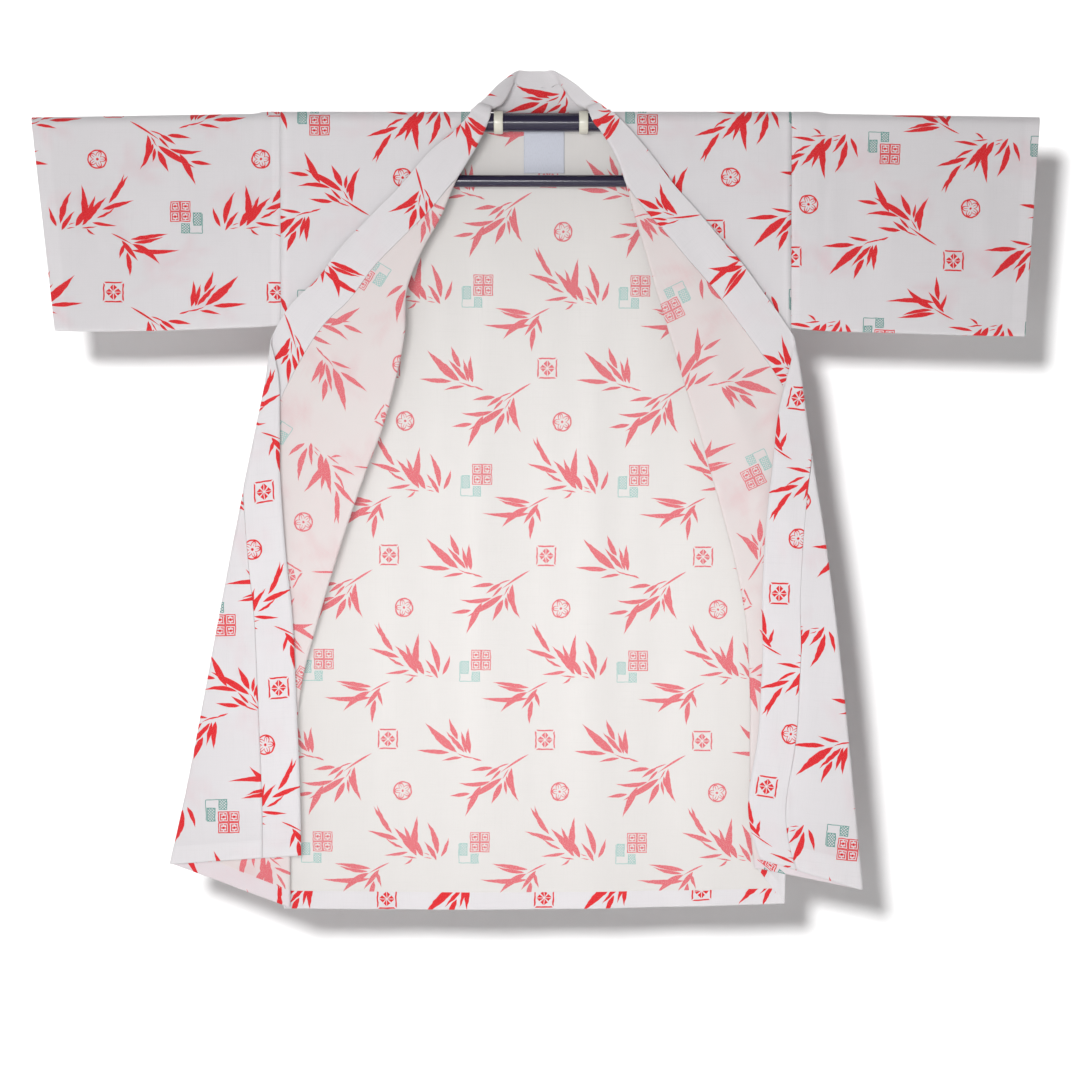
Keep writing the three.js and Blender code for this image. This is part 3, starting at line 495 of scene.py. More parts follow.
class Front:
    """One front in its own cloth's measures: t is the row down the cloth, s the distance along the
    weft from the side seam. It hangs down, rolls over along the lapel and turns forward again."""

    def __init__(self, name, side, rows):
        self.name, self.side = name, side
        self.values = {c: [r[i] for r in rows] for i, c in enumerate(FRONT_COLUMNS)}

    def at(self, column, t):
        return along(self.values[column], t)

    def fold_normal(self, name, t, sign):
        """Unit vector square to the fold's curve, from its slope over a twentieth of a row."""
        step = 0.05
        d_out = self.at(name + "Out", t + step) - self.at(name + "Out", t - step)
        d_z = self.at(name + "Z", t + step) - self.at(name + "Z", t - step)
        length = np.hypot(d_out, d_z)
        return np.stack([sign * d_z / length, -sign * d_out / length], -1)

    def lines(self, t):
        """For each row, where the folds lie in the plane of the cloth and how far along it."""
        t = np.asarray(t, float)
        fold_dir, turn_dir = self.fold_normal("fold", t, 1), self.fold_normal("turn", t, -1)
        seat = np.stack([self.at("sideOut", t), self.at("sideZ", t)], -1)
        fold = np.stack([self.at("foldOut", t), self.at("foldZ", t)], -1) - fold_dir * FOLD_RADIUS
        turn = np.stack([self.at("turnOut", t), self.at("turnZ", t)], -1) - turn_dir * TURN_RADIUS
        fold_start = np.linalg.norm(fold - seat, axis=-1)
        fold_end = fold_start + math.pi * FOLD_RADIUS
        turn_start = fold_end + np.linalg.norm(turn - fold, axis=-1)
        turn_end = turn_start + math.pi * TURN_RADIUS
        return {
            "t": t, "fold_dir": fold_dir, "turn_dir": turn_dir, "seat": seat, "fold": fold, "turn": turn,
            "width": self.at("width", t), "rise": np.radians(self.at("rise", t)),
            "fores": [self.at(c, t) for c in ("foldFore", "turnFore", "edgeFore")],
            "folds": [fold_start, fold_end, turn_start, turn_end],
        }

    def points(self, line, s):
        """Middle of the cloth at each (row, s): straight plies joined by two half-round folds."""
        col = lambda a: np.asarray(a)[:, None]
        fs, fe, ts, te = (col(f) for f in line["folds"])
        fold_fore, turn_fore, edge_fore = (col(f) for f in line["fores"])
        seat, fold, turn = (line[k][:, None, :] for k in ("seat", "fold", "turn"))
        fold_dir, turn_dir = line["fold_dir"][:, None, :], line["turn_dir"][:, None, :]

        u = s / fs
        flat = mix(seat, fold, u[..., None])
        over = np.maximum(seat[..., 1], 0) / WRAP
        hung = mix(armhole_depth(seat[..., 1]), fold_fore, ease(u))
        fore1 = np.where(seat[..., 1] > 0, WRAP * np.cos(over), hung)
        z1 = np.where(seat[..., 1] > 0, WRAP * np.sin(over), flat[..., 1])

        angle = np.clip((s - fs) / FOLD_RADIUS, 0, math.pi)
        p2 = fold + fold_dir * (FOLD_RADIUS * np.sin(angle))[..., None]
        fore2 = fold_fore + FOLD_RADIUS * (1 - np.cos(angle))

        u = np.clip((s - fe) / (ts - fe), 0, 1)
        p3 = mix(fold, turn, u[..., None])
        fore3 = mix(fold_fore + 2 * FOLD_RADIUS, turn_fore, u)

        angle = np.clip((s - ts) / TURN_RADIUS, 0, math.pi)
        p4 = turn + turn_dir * (TURN_RADIUS * np.sin(angle))[..., None]
        fore4 = turn_fore + TURN_RADIUS * (1 - np.cos(angle))

        past = s - te
        u = past / np.maximum(col(line["width"]) - te, BAND_WIDTH)
        rise = col(line["rise"])
        p5 = turn + np.stack([-past * np.cos(rise), past * np.sin(rise)], -1)
        fore5 = mix(turn_fore + 2 * TURN_RADIUS, edge_fore, u)

        pick = [s <= fs, s <= fe, s <= ts, s <= te]
        out = np.select(pick, [flat[..., 0], p2[..., 0], p3[..., 0], p4[..., 0]], p5[..., 0])
        z = np.select(pick, [z1, p2[..., 1], p3[..., 1], p4[..., 1]], p5[..., 1])
        fore = np.select(pick, [fore1, fore2, fore3, fore4], fore5)
        fore = fore + self.drape(line["t"][:, None], s, [fs, fe, ts, te], out, z)
        return np.stack([self.side * out, -fore, z], -1)

    def drape(self, t, s, folds, out, z):
        """Soft troughs and ridges that the cloth hangs in, one set for each ply: bell-shaped waves
        across the ply that lean with the lapel and fade out at its folds, and the creases."""
        fs, fe, ts, te = folds
        x = self.side * out
        hidden = np.clip(s / fs, 0, 1)
        wave = 0.7 * np.sin(TAU * (hidden * 1.6 + t * 0.05)) * np.sin(math.pi * hidden) ** 2
        lapel = np.clip((s - fe) / np.maximum(ts - fe, 1), 0, 1)
        inside = np.sin(math.pi * lapel) ** 2 * ((s > fe) & (s < ts))
        ripple = 0.5 * np.sin((out + 0.55 * z) / 17.0) * ease((t - 5) / 3)
        for height, place, half_width, row in LAPEL_RIDGES:
            ripple = ripple + height * bump(lapel, place, half_width) * ease((t - row) / 3)
        ripple = ripple + LAPEL_CREASE * creases(f"{self.name}_lapel", x, z)
        facing = np.clip((s - te) / 60.0, 0, 1) * (s > te)
        swell = 0.9 * np.sin(z / 46.0 + 1.3 * self.side) + 0.5 * np.sin(z / 23.0 + out / 30.0)
        swell = swell * ease((t - 8) / 2) + creases(f"{self.name}_facing", x, z)
        return wave * (s <= fs) + ripple * inside + swell * facing


def stations(start, end, folds, counts):
    """Places along the weft, close together in each fold; where a fold lies off the piece its
    columns stand half a millimetre apart."""
    sliver = 0.45
    knots, passed = [start], 0
    for fold, count in zip(folds, counts):
        passed += count
        knots.append(np.clip(fold, start + passed * sliver, end - (sum(counts) - passed) * sliver))
    knots.append(end)
    parts = [start[:, None]]
    for a, b, count in zip(knots[:-1], knots[1:], counts):
        parts.append(a[:, None] + (b - a)[:, None] * (np.arange(1, count + 1) / count))
    return np.concatenate(parts, 1)


LEFT = Front("left", -1, FRONT_LEFT)
RIGHT = Front("right", 1, FRONT_RIGHT)


# ---- the print's chart ----

def ply_chart(name, x, z):
    """Point of the repeat that lies at (x, z) of a ply: the place is taken from the ply's own mark,
    turned back, divided by how much the cloth is drawn together, and mirrored on a wrong side."""
    (mark_u, mark_v), (place_x, place_z), turn, wrong, (scale_u, scale_v) = PLY_PRINT[name]
    angle = math.radians(turn)
    dx, dz = x - place_x, z - place_z
    u = (dx * math.cos(angle) + dz * math.sin(angle)) / scale_u
    v = (dz * math.cos(angle) - dx * math.sin(angle)) / scale_v
    if name == "back":
        v = v * (1 - BACK_STRETCH * v)
    return np.stack([mark_u + (-u if wrong else u), mark_v + v], -1)


def chart_on(name, grid):
    return ply_chart(name, grid[..., 0], grid[..., 2])


def spray_window(leaves):
    """Lowest corner of the one repeat, centred on a spray, that its leaves are drawn in."""
    ends = np.array([leaf[:4] for leaf in leaves]).reshape(-1, 2)
    return (ends.min(0) + ends.max(0)) / 2 - np.array(REPEAT) / 2


def printed(chart):
    """Share of red on points of the chart, by the same leaf formula as the cotton's shader."""
    red = np.zeros(chart.shape[:-1])
    for _, leaves in SPRAY_LEAVES:
        low = spray_window(leaves)
        point = low + np.mod(chart - low, REPEAT)
        for foot_u, foot_v, tip_u, tip_v, width, bend in leaves:
            du, dv = tip_u - foot_u, tip_v - foot_v
            length = math.hypot(du, dv)
            pu, pv = point[..., 0] - foot_u, point[..., 1] - foot_v
            t = (pu * du + pv * dv) / length ** 2
            off = (pv * du - pu * dv) / length
            left = np.clip(1 - t, 0, 1)
            middle = 4 * bend * length * t * left
            half = LEAF_SWELL * width / 2 * t * left * (1 - LEAF_TAPER * t)
            red = np.maximum(red, half - np.abs(off + middle) > 0.1)
    return red


def ghost(chart):
    """Print that shows faintly through the cloth from a ply behind: the mean of nine points a blur
    apart on the chart."""
    offsets = (-GHOST_BLUR, 0, GHOST_BLUR)
    return sum(printed(chart + (u, v)) for u in offsets for v in offsets) / 9


def see_through(share):
    """Tint of the cloth over a ghost: white, less a little green and blue."""
    return 1 - np.asarray(share)[..., None] * SHOW_THROUGH


# ---- shells: a wall of even thickness on a grid of middle points ----

def grid_normals(grid, ring):
    """Unit normals of a grid of points: the slope down the rows crossed with that along a row."""
    down = np.gradient(grid, axis=0)
    across = np.gradient(grid, axis=1)
    if ring:
        across = np.roll(grid, -1, 1) - np.roll(grid, 1, 1)
    normal = np.cross(down, across)
    return normal / np.maximum(np.linalg.norm(normal, axis=-1, keepdims=True), 1e-9)


def corners(values, ring):
    """The values at the four corners of every quad: near, below, below and across, across."""
    across = np.roll(values, -1, 1) if ring else values[:, 1:]
    near = values if ring else values[:, :-1]
    return np.stack([near[:-1], near[1:], across[1:], across[:-1]], 2)


class Side:
    """One face of a shell: the chart of the print at its quads' corners (rows, columns, 4, 2), whether
    each quad shows the cloth's wrong side, and the tint at each grid point."""

    def __init__(self, chart, wrong, tint):
        self.chart, self.wrong, self.tint = chart, wrong, tint


def shell(name, grid, thickness, first, second, ring=False):
    """A closed wall: two faces half a thickness to each side of the grid and a rim round the edge.
    The first side is the one that the grid's normal, down crossed with across, points to."""
    rows, columns = grid.shape[:2]
    half = np.broadcast_to(thickness, (rows, columns))[..., None] / 2
    offset = grid_normals(grid, ring) * half
    vertices = np.concatenate([(grid + offset).reshape(-1, 3), (grid - offset).reshape(-1, 3)])
    far = rows * columns
    quad = corners(np.arange(far).reshape(rows, columns), ring)
    edges = [(np.s_[0], 0, 3), (np.s_[-1], 2, 1)]
    if not ring:
        edges += [(np.s_[:, 0], 1, 0), (np.s_[:, -1], 3, 2)]
    rims = [quad[edge][:, [a, b, b, a]] + np.array([0, 0, far, far]) for edge, a, b in edges]
    faces = np.concatenate([quad.reshape(-1, 4), (quad[..., ::-1] + far).reshape(-1, 4)] + rims)
    chart = np.concatenate([first.chart.reshape(-1, 4, 2), second.chart[:, :, ::-1].reshape(-1, 4, 2)]
                           + [first.chart[edge][:, [a, b, b, a]] for edge, a, b in edges])
    wrong = np.concatenate([first.wrong.reshape(-1), second.wrong.reshape(-1),
                            np.zeros(sum(len(r) for r in rims), bool)])
    tint = np.concatenate([first.tint.reshape(-1, 3), second.tint.reshape(-1, 3)])
    return mesh_piece(name, vertices, faces, chart, wrong, tint)


def mesh_piece(name, vertices, faces, chart=None, wrong=None, tint=None):
    """Puts whole arrays of points (mm) and faces, all quads, into a mesh at the origin, with the
    print's chart as its UV map and the tint as a colour attribute."""
    mesh = bpy.data.meshes.new(name)
    mesh.vertices.add(len(vertices))
    mesh.vertices.foreach_set("co", (np.asarray(vertices) * MM).astype(np.float32).ravel())
    mesh.loops.add(faces.size)
    mesh.loops.foreach_set("vertex_index", faces.astype(np.int32).ravel())
    mesh.polygons.add(len(faces))
    mesh.polygons.foreach_set("loop_start", np.arange(0, faces.size, 4, dtype=np.int32))
    if chart is not None:
        layer = mesh.uv_layers.new(name="print")
        layer.data.foreach_set("uv", (chart * MM).astype(np.float32).ravel())
    if wrong is not None:
        mesh.polygons.foreach_set("material_index", wrong.astype(np.int32))
    if tint is not None:
        layer = mesh.color_attributes.new("tint", "FLOAT_COLOR", "POINT")
        colours = np.concatenate([tint, np.ones((len(tint), 1))], 1)
        layer.data.foreach_set("color", colours.astype(np.float32).ravel())
    mesh.polygons.foreach_set("use_smooth", np.ones(len(faces), bool))
    mesh.update(calc_edges=True)
    mesh.validate()
    piece = bpy.data.objects.new(name, mesh)
    bpy.context.scene.collection.objects.link(piece)
    return piece


def stand_in(piece, node):
    """Gives a piece its body and hides the CAD node that it stands for."""
    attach(piece, "root")
    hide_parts(node)


def finish_cloth(piece, node, **cut):
    """Gives a sheet its two finishes and its body, and hides the node that it stands for; its cut, given as
    keywords, is not used.
    """
    for material in cottons():
        piece.data.materials.append(material)
    stand_in(piece, node)


# ---- cloth: the fronts ----

def hemmed_panel(name, grid, rows, plain, turned_up, tint, right_first):
    """A shell whose wrong side shows the cloth's right side in its turned-up hem, where the print
    runs back from the hem's edge. right_first: the grid's normal points to the right side."""
    hem = (rows > HEM_START)[:, None]
    hem_quads = np.broadcast_to(hem[:-1], plain.shape[:2])
    right = Side(plain, np.zeros(plain.shape[:2], bool), tint)
    wrong = Side(np.where(hem_quads[..., None, None], turned_up, plain), ~hem_quads, tint)
    thickness = np.where(hem, HEM_PLIES, 1) * size_of("cloth") / MM
    return shell(name, grid, thickness, *((right, wrong) if right_first else (wrong, right)))


def front_quads(front, line, s, grid):
    """Chart at the corners of every quad, by the ply that the quad's middle lies on."""
    fs, fe, ts, te = line["folds"]
    middle = (s[:-1, :-1] + s[1:, 1:]) / 2
    ply = sum((middle >= ((edge[:-1] + edge[1:]) / 2)[:, None]).astype(int)
              for edge in ((fs + fe) / 2, (ts + te) / 2))
    charts = [corners(chart_on(f"{front.name}_{name}", grid), False)
              for name in ("hidden", "lapel", "facing")]
    return np.choose(ply[..., None, None], charts)


def front_tint(front, grid, s, line):
    """Ghosts of the plies behind, a pink blush on the lapel ply that is partly show-through and partly
    painted shade, and whiter cloth where the hem and the seam allowance double it.
    """
    fs, fe, ts, te = (fold[:, None] for fold in line["folds"])
    second, third = s > (fs + fe) / 2, s > (ts + te) / 2
    hem = (line["t"] > HEM_START)[:, None]
    first_ghost, second_ghost, third_ghost = (
        strength * ghost(chart_on(ply, grid)) for strength, ply in
        zip(PLY_GHOSTS, ("back", f"{front.name}_hidden", f"{front.name}_lapel")))
    share = np.where(third, third_ghost, np.where(second, second_ghost, first_ghost))
    tint = see_through(share * np.where(hem, HEM_GHOST, 1))
    # Lapel blush: partly the print behind showing through, partly painted shade in the band's shadow.
    tint = tint * np.where((second & ~third)[..., None], LAPEL_BLUSH_AND_SHADE, 1)
    return tint * np.where((hem | (s < SEAM_ALLOWANCE))[..., None], HEM_WHITER, 1)


def make_front(front):
    """A front panel on its three plies, from the side seam to the collar's seam."""
    rows = spread(*FRONT_ROWS)
    line = front.lines(rows)
    s = stations(np.full(len(rows), EDGE), line["width"] - BAND_WIDTH - seam_edge(rows),
                 line["folds"], PANEL_COUNTS)
    grid = front.points(line, s)
    plain, turned_up = (front_quads(front, line, s, g) for g in (grid, 2 * grid[-1:] - grid))
    return hemmed_panel(f"cloth_front_{front.name}", grid, rows, plain, turned_up,
                        front_tint(front, grid, s, line), right_first=front.side < 0)


# ---- cloth: the collar band ----

def rolled_section(seam, roll, free):
    """A cross-section that stands up from its seam and rolls over: two straight legs joined by an arc
    that passes the roll point. The arc is the blend of its ends by the sines of the angles left."""
    unit = lambda v: v / np.linalg.norm(v)
    half_angle = lambda a, b: math.acos(np.clip(np.dot(a, b), -1, 1)) / 2
    up, over = unit(seam - roll), unit(free - roll)
    vertex = roll - unit(up + over) * (BAND_ROLL / math.sin(half_angle(up, over)) - BAND_ROLL)
    to_seam, to_free = unit(seam - vertex), unit(free - vertex)
    half = half_angle(to_seam, to_free)
    tangent, turn = BAND_ROLL / math.tan(half), math.pi - 2 * half
    centre = vertex + unit(to_seam + to_free) * (BAND_ROLL / math.sin(half))
    bend_start, bend_end = vertex + to_seam * tangent, vertex + to_free * tangent
    stand, bend = np.linalg.norm(seam - bend_start), BAND_ROLL * turn
    lapel = np.linalg.norm(bend_end - free)
    one = lambda v: np.array([float(v)])
    folds = [one(stand), one(stand + bend), one(1e9), one(1e9)]
    s = stations(one(0), one(stand + bend + lapel), folds, BAND_COUNTS)[0][:, None]
    angle = np.clip((s - stand) / BAND_ROLL, 0, turn)
    arc = centre + ((bend_start - centre) * np.sin(turn - angle)
                    + (bend_end - centre) * np.sin(angle)) / math.sin(turn)
    first = mix(seam, bend_start, s / stand)
    last = mix(bend_end, free, (s - stand - bend) / lapel)
    return np.where(s <= stand, first, np.where(s >= stand + bend, last, arc))


def neck_point(side, row, name):
    z = row[name + "Z"]
    return np.array([neck_middle(z) + side * row[name + "Out"], -row[name + "Fore"], z])


def band_sections(front):
    """Cross-sections from the middle of the neck over the pole to the front's first rows."""
    sections = []
    for values in NECK:
        row = dict(zip(NECK_COLUMNS, values))
        sections.append(rolled_section(*(neck_point(front.side, row, n) for n in ("seam", "roll", "free"))))
    for values in SHOULDER:
        row = dict(zip(SHOULDER_COLUMNS, values))
        line = front.lines([row["row"]])
        seam = front.points(line, (line["width"] - BAND_WIDTH + EDGE)[:, None])[0, 0]
        outward = np.array([0, seam[1], seam[2]])
        seam = seam + outward / np.linalg.norm(outward) * row["lift"]
        sections.append(rolled_section(seam, *(neck_point(front.side, row, n) for n in ("roll", "free"))))
    return np.array(sections)


def band_on_front(front, rows):
    line = front.lines(rows)
    start = line["width"] - BAND_WIDTH + seam_edge(line["t"])
    return front.points(line, stations(start, line["width"], line["folds"], BAND_COUNTS))


def seam_edge(t):
    """Half the gap at the collar's seam: a little wider where the seam goes round a fold."""
    return EDGE + sum(extra * bump(t, row, reach) for row, reach, extra in CROSSINGS)


def band_grid():
    """The band from the left hem over the neck to the right hem. Its neck is a smooth curve through
    the cross-sections, and further down it lies on the fronts' own rows."""
    shared = (1.0, 1.25, 1.5)
    rows = spread(*FRONT_ROWS)
    lower = rows[rows > shared[0] + 1e-6]
    halves = [np.concatenate([band_sections(f), band_on_front(f, shared)]) for f in (LEFT, RIGHT)]
    sections = np.concatenate([halves[0][::-1], halves[1][1:]])
    spare = len(shared) - 1
    end = len(sections) - 1 - spare
    neck = along(sections, np.linspace(spare, end, NECK_STEPS * (end - spare) + 1))
    return np.concatenate([band_on_front(LEFT, lower)[::-1], neck, band_on_front(RIGHT, lower)])


def band_charts(grid):
    """The band's print: v is the length along the band's middle line from the left hem, and u the
    distance from its seam; on the inner layer u goes on past the free edge."""
    u = total_length(grid)
    v = total_length(grid[None, :, grid.shape[1] // 2])[0][:, None]
    start_u, start_v = BAND_PRINT_START
    v = start_v + BAND_DRAW * v * np.ones(u.shape)
    return np.stack([start_u + u, v], -1), np.stack([start_u + 2 * BAND_WIDTH - u, v], -1)


def make_collar():
    """The doubled band: both of its faces show the cloth's right side."""
    grid = band_grid()
    outer, inner = band_charts(grid)
    plain = np.zeros((grid.shape[0] - 1, grid.shape[1] - 1), bool)
    sides = [Side(corners(chart, False), plain, see_through(ghost(behind) * BAND_GHOST) * BAND_WHITER)
             for chart, behind in ((inner, outer), (outer, inner))]
    return shell("cloth_collar", grid, size_of("band") / MM, *sides)


# ---- cloth: back, sleeves, label ----

def make_back():
    """The back, from the shoulders over the pole down to the hem. Its columns crowd towards the
    sides as a sine does, and its hem sags in the middle by the eighth power of the row."""
    rows = spread(*BACK_ROWS)
    left, right = (front.lines(rows)["seat"] for front in (LEFT, RIGHT))
    share = np.sin(np.linspace(-BACK_CROWDING, BACK_CROWDING, BACK_COLUMNS)) / math.sin(BACK_CROWDING)
    u = (share[None] + 1) / 2
    x = mix(-left[:, :1] + EDGE, right[:, :1] - EDGE, u)
    z = mix(left[:, 1:], right[:, 1:], u) - HEM_SAG * (rows[:, None] / LAST_ROW) ** 8 * (1 - share ** 2)
    depth = back_depth(x, z) + back_creases(x, z)
    depth = mix(armhole_depth(z), depth, 1 - np.abs(share) ** 5)
    from_neck = np.abs(x - neck_middle(WRAP))
    neckward = 1 - ease((from_neck - NECK_HALF["flat"]) / (NECK_HALF["point"] - NECK_HALF["flat"]))
    top_depth = back_depth(x, np.zeros_like(x))
    y = np.where(z > 0, mix(top_depth * neckward, top_depth, np.cos(z / WRAP)), depth)
    grid = np.stack([x, y, np.where(z > 0, WRAP * np.sin(z / WRAP), z)], -1)
    # Painted light: the cloth is 2% darker all over, with whiter upright bands as painted highlights of the
    # folds; the bands fade out towards the top and the hem.
    fold_highlights = sum(more * bump(x, place + 0.02 * z, half_width) for place, half_width, more in PAINTED_FOLD_HIGHLIGHTS)
    fold_highlights = 0.98 + fold_highlights * ease((-60 - z) / 160) * ease((z + 1000) / 300)
    whiter = np.where(rows > HEM_START, HEM_WHITER, 1)[:, None] * fold_highlights
    plain, turned_up = (corners(chart_on("back", g), False) for g in (grid, 2 * grid[-1:] - grid))
    return hemmed_panel("cloth_back", grid, rows, plain, turned_up,
                        whiter[..., None] * np.ones(grid.shape), right_first=False)


def back_creases(x, z):
    """Small soft creases that fan from the shoulders: sine waves that lean outwards and fade."""
    fan = 0.8 * np.sin((x + 0.12 * z) / 19.0) + np.sin((x - 0.2 * z) / 37.0)
    return fan * ease((-60 - z) / 200) * ease((z + 1040) / 60) - creases("back", x, z)


def make_sleeve(side, name, table):
    """A sleeve: a tube round the pole and the arm at its top, with two hanging walls and a lower fold.
    Rings run outwards; each starts at the front of the rod, goes over it and down the back."""
    key = f"sleeve_{name}"
    t = np.linspace(0, len(table) - 1, SLEEVE_ROWS)
    top_out, foot_out, foot_z, sway = along(table, t).T[..., None]
    root = (t == 0)[:, None]
    radius = mix(WRAP, WRAP - POLE_RADIUS + ARM_RADIUS, ease((top_out - POLE_HALF) / 18))
    radius = radius - SLEEVE_TUCK * root
    foot = SLEEVE_FOOT - SLEEVE_TUCK * root
    axis_z = -np.maximum(top_out - POLE_HALF, 0) * ARM_DROOP
    foot_axis = foot_z + SLEEVE_FOOT
    arc = np.linspace(0, math.pi, SLEEVE_ARC + 1)[None]
    wall = np.linspace(0, 1, SLEEVE_WALL + 1)[None, 1:-1]
    foot_arc = np.linspace(0, math.pi, SLEEVE_FOOT_ARC + 1)[None]
    fore = np.concatenate([radius * np.cos(arc), -mix(radius, foot, wall),
                           -foot * np.cos(foot_arc), mix(foot, radius, wall)], 1)
    z = np.concatenate([axis_z + radius * np.sin(arc), mix(axis_z, foot_axis, wall),
                        foot_axis - SLEEVE_FOOT * np.sin(foot_arc), mix(foot_axis, axis_z, wall)], 1)
    shift = np.concatenate([amount * np.ones_like(part) for amount, part in
                            ((0 * sway, arc), (sway / 2, wall), (0 * sway, foot_arc), (sway, wall))], 1)
    top_z = axis_z + radius
    fall = (top_z - z) / (top_z - foot_z)
    out = mix(top_out, foot_out, fall) - SLEEVE_REACH * root
    hang = np.sin(math.pi * fall)
    ripple = (0.8 * np.sin(out / 24 + 2.2 * fall) + 0.6 * np.sin(out / 11 - 3.1 * fall + side)) * hang
    ripple = ripple * ease((out - 345) / 40) * ease((np.max(out) - out) / 30)
    ripple = ripple + creases(key, side * out, z)
    grid = np.stack([side * out, -(fore + (shift + ripple * np.sign(fore)) * hang), z], -1)

    run = total_length(np.concatenate([grid, grid[:, :1]], 1))
    run, total = run[:, :-1], run[:, -1:]
    over, under = (ply_chart(key, grid[..., 0], axis_z + length) for length in (run, run - total))
    closed = ply_chart(key, grid[:, :1, 0], axis_z)
    over_quads, under_quads = corners(over, True), corners(under, True)
    under_quads[:, -1, 2:] = np.stack([closed[1:, 0], closed[:-1, 0]], 1)
    front_half = (np.arange(grid.shape[1]) < SLEEVE_ARC + SLEEVE_WALL + SLEEVE_FOOT_ARC // 2)[None]
    chart = np.where(front_half[..., None, None], over_quads, under_quads)
    behind = ply_chart(key, grid[..., 0], 2 * top_z - grid[..., 2])
    doubled = (np.max(top_out) - top_out < CUFF_HEM) | (out < np.min(top_out) + SEAM_ALLOWANCE)
    tint = see_through(np.where(front_half, 0, ghost(behind)) * SLEEVE_GHOST)
    tint = tint * np.where(doubled, HEM_WHITER, 1)[..., None]
    plain = np.zeros(chart.shape[:2], bool)
    right, wrong = Side(chart, plain, tint), Side(chart, ~plain, tint)
    sides = (right, wrong) if side > 0 else (wrong, right)
    return shell(f"cloth_{key}", grid, size_of("cloth") / MM, *sides, ring=True)


def make_label():
    """A blank care label that lies on the inside of the back: its foot curls forward as a bell curve,
    and it bellies across as half a sine wave."""
    left, right = LABEL["left"], LABEL["right"]
    x, z = np.meshgrid(np.linspace(left, right, 40), np.linspace(LABEL["top"], LABEL["foot"], 40))
    lift = (size_of("cloth") + size_of("label")) / MM / 2 + LABEL["gap"]
    curl = LABEL["curl"] * bump(z, LABEL["foot"], LABEL["curlReach"])
    curl = curl + LABEL["belly"] * np.sin(math.pi * (x - left) / (right - left))
    grid = np.stack([x, back_depth(x, z) - lift - curl, z], -1)
    chart = corners(grid[..., [0, 2]], False)
    face = Side(chart, np.zeros(chart.shape[:2], bool), np.ones(grid.shape))
    return shell("cloth_care_label", grid, size_of("label") / MM, face, face)


# ---- hanger ----

def rod_profile(half, radius, edge=1.6):
    """Half length and radius to a rod's profile: a closed end, a quarter-round edge, and the mirror."""
    turn = np.linspace(math.pi / 2, 0, 7)
    start = [(-half, 0.02)] + [(-half + edge * (1 - math.sin(a)), radius - edge * (1 - math.cos(a)))
                               for a in turn]
    return start + [(-x, r) for x, r in start[::-1]]


def hanger_piece(name, part, material, profile, place, tilt=0.0):
    """A profile of (distance along, radius) turned round the X axis, tilted in the plane of the
    garment and moved to its place: x' = x cos + z sin, z' = z cos - x sin."""
    profile = np.array(profile, float)
    angle = np.linspace(0, TAU, LATHE_SEGMENTS, endpoint=False)
    x, radius = profile[:, :1] * np.ones_like(angle), profile[:, 1:]
    y, z = radius * np.cos(angle), radius * np.sin(angle)
    c, s = math.cos(tilt), math.sin(tilt)
    grid = np.stack([x * c + z * s, y, z * c - x * s], -1) + np.array(place, float)
    faces = corners(np.arange(x.size).reshape(x.shape), True).reshape(-1, 4)[:, ::-1]
    piece = mesh_piece(name, grid.reshape(-1, 3), faces)
    piece.data.materials.append(material)
    stand_in(piece, f"hanger_{part}")


# ---- shader graphs ----

class Value:
    """What a node gives out, so that formulas of single numbers can be written as formulas."""

    def __init__(self, graph, socket):
        self.graph, self.socket = graph, socket

    def __add__(self, other):
        return self.graph.math("ADD", self, other)

    def __sub__(self, other):
        return self.graph.math("SUBTRACT", self, other)

    def __rsub__(self, other):
        return self.graph.math("SUBTRACT", other, self)

    def __mul__(self, other):
        return self.graph.math("MULTIPLY", self, other)

    def __abs__(self):
        return self.graph.math("ABSOLUTE", self)


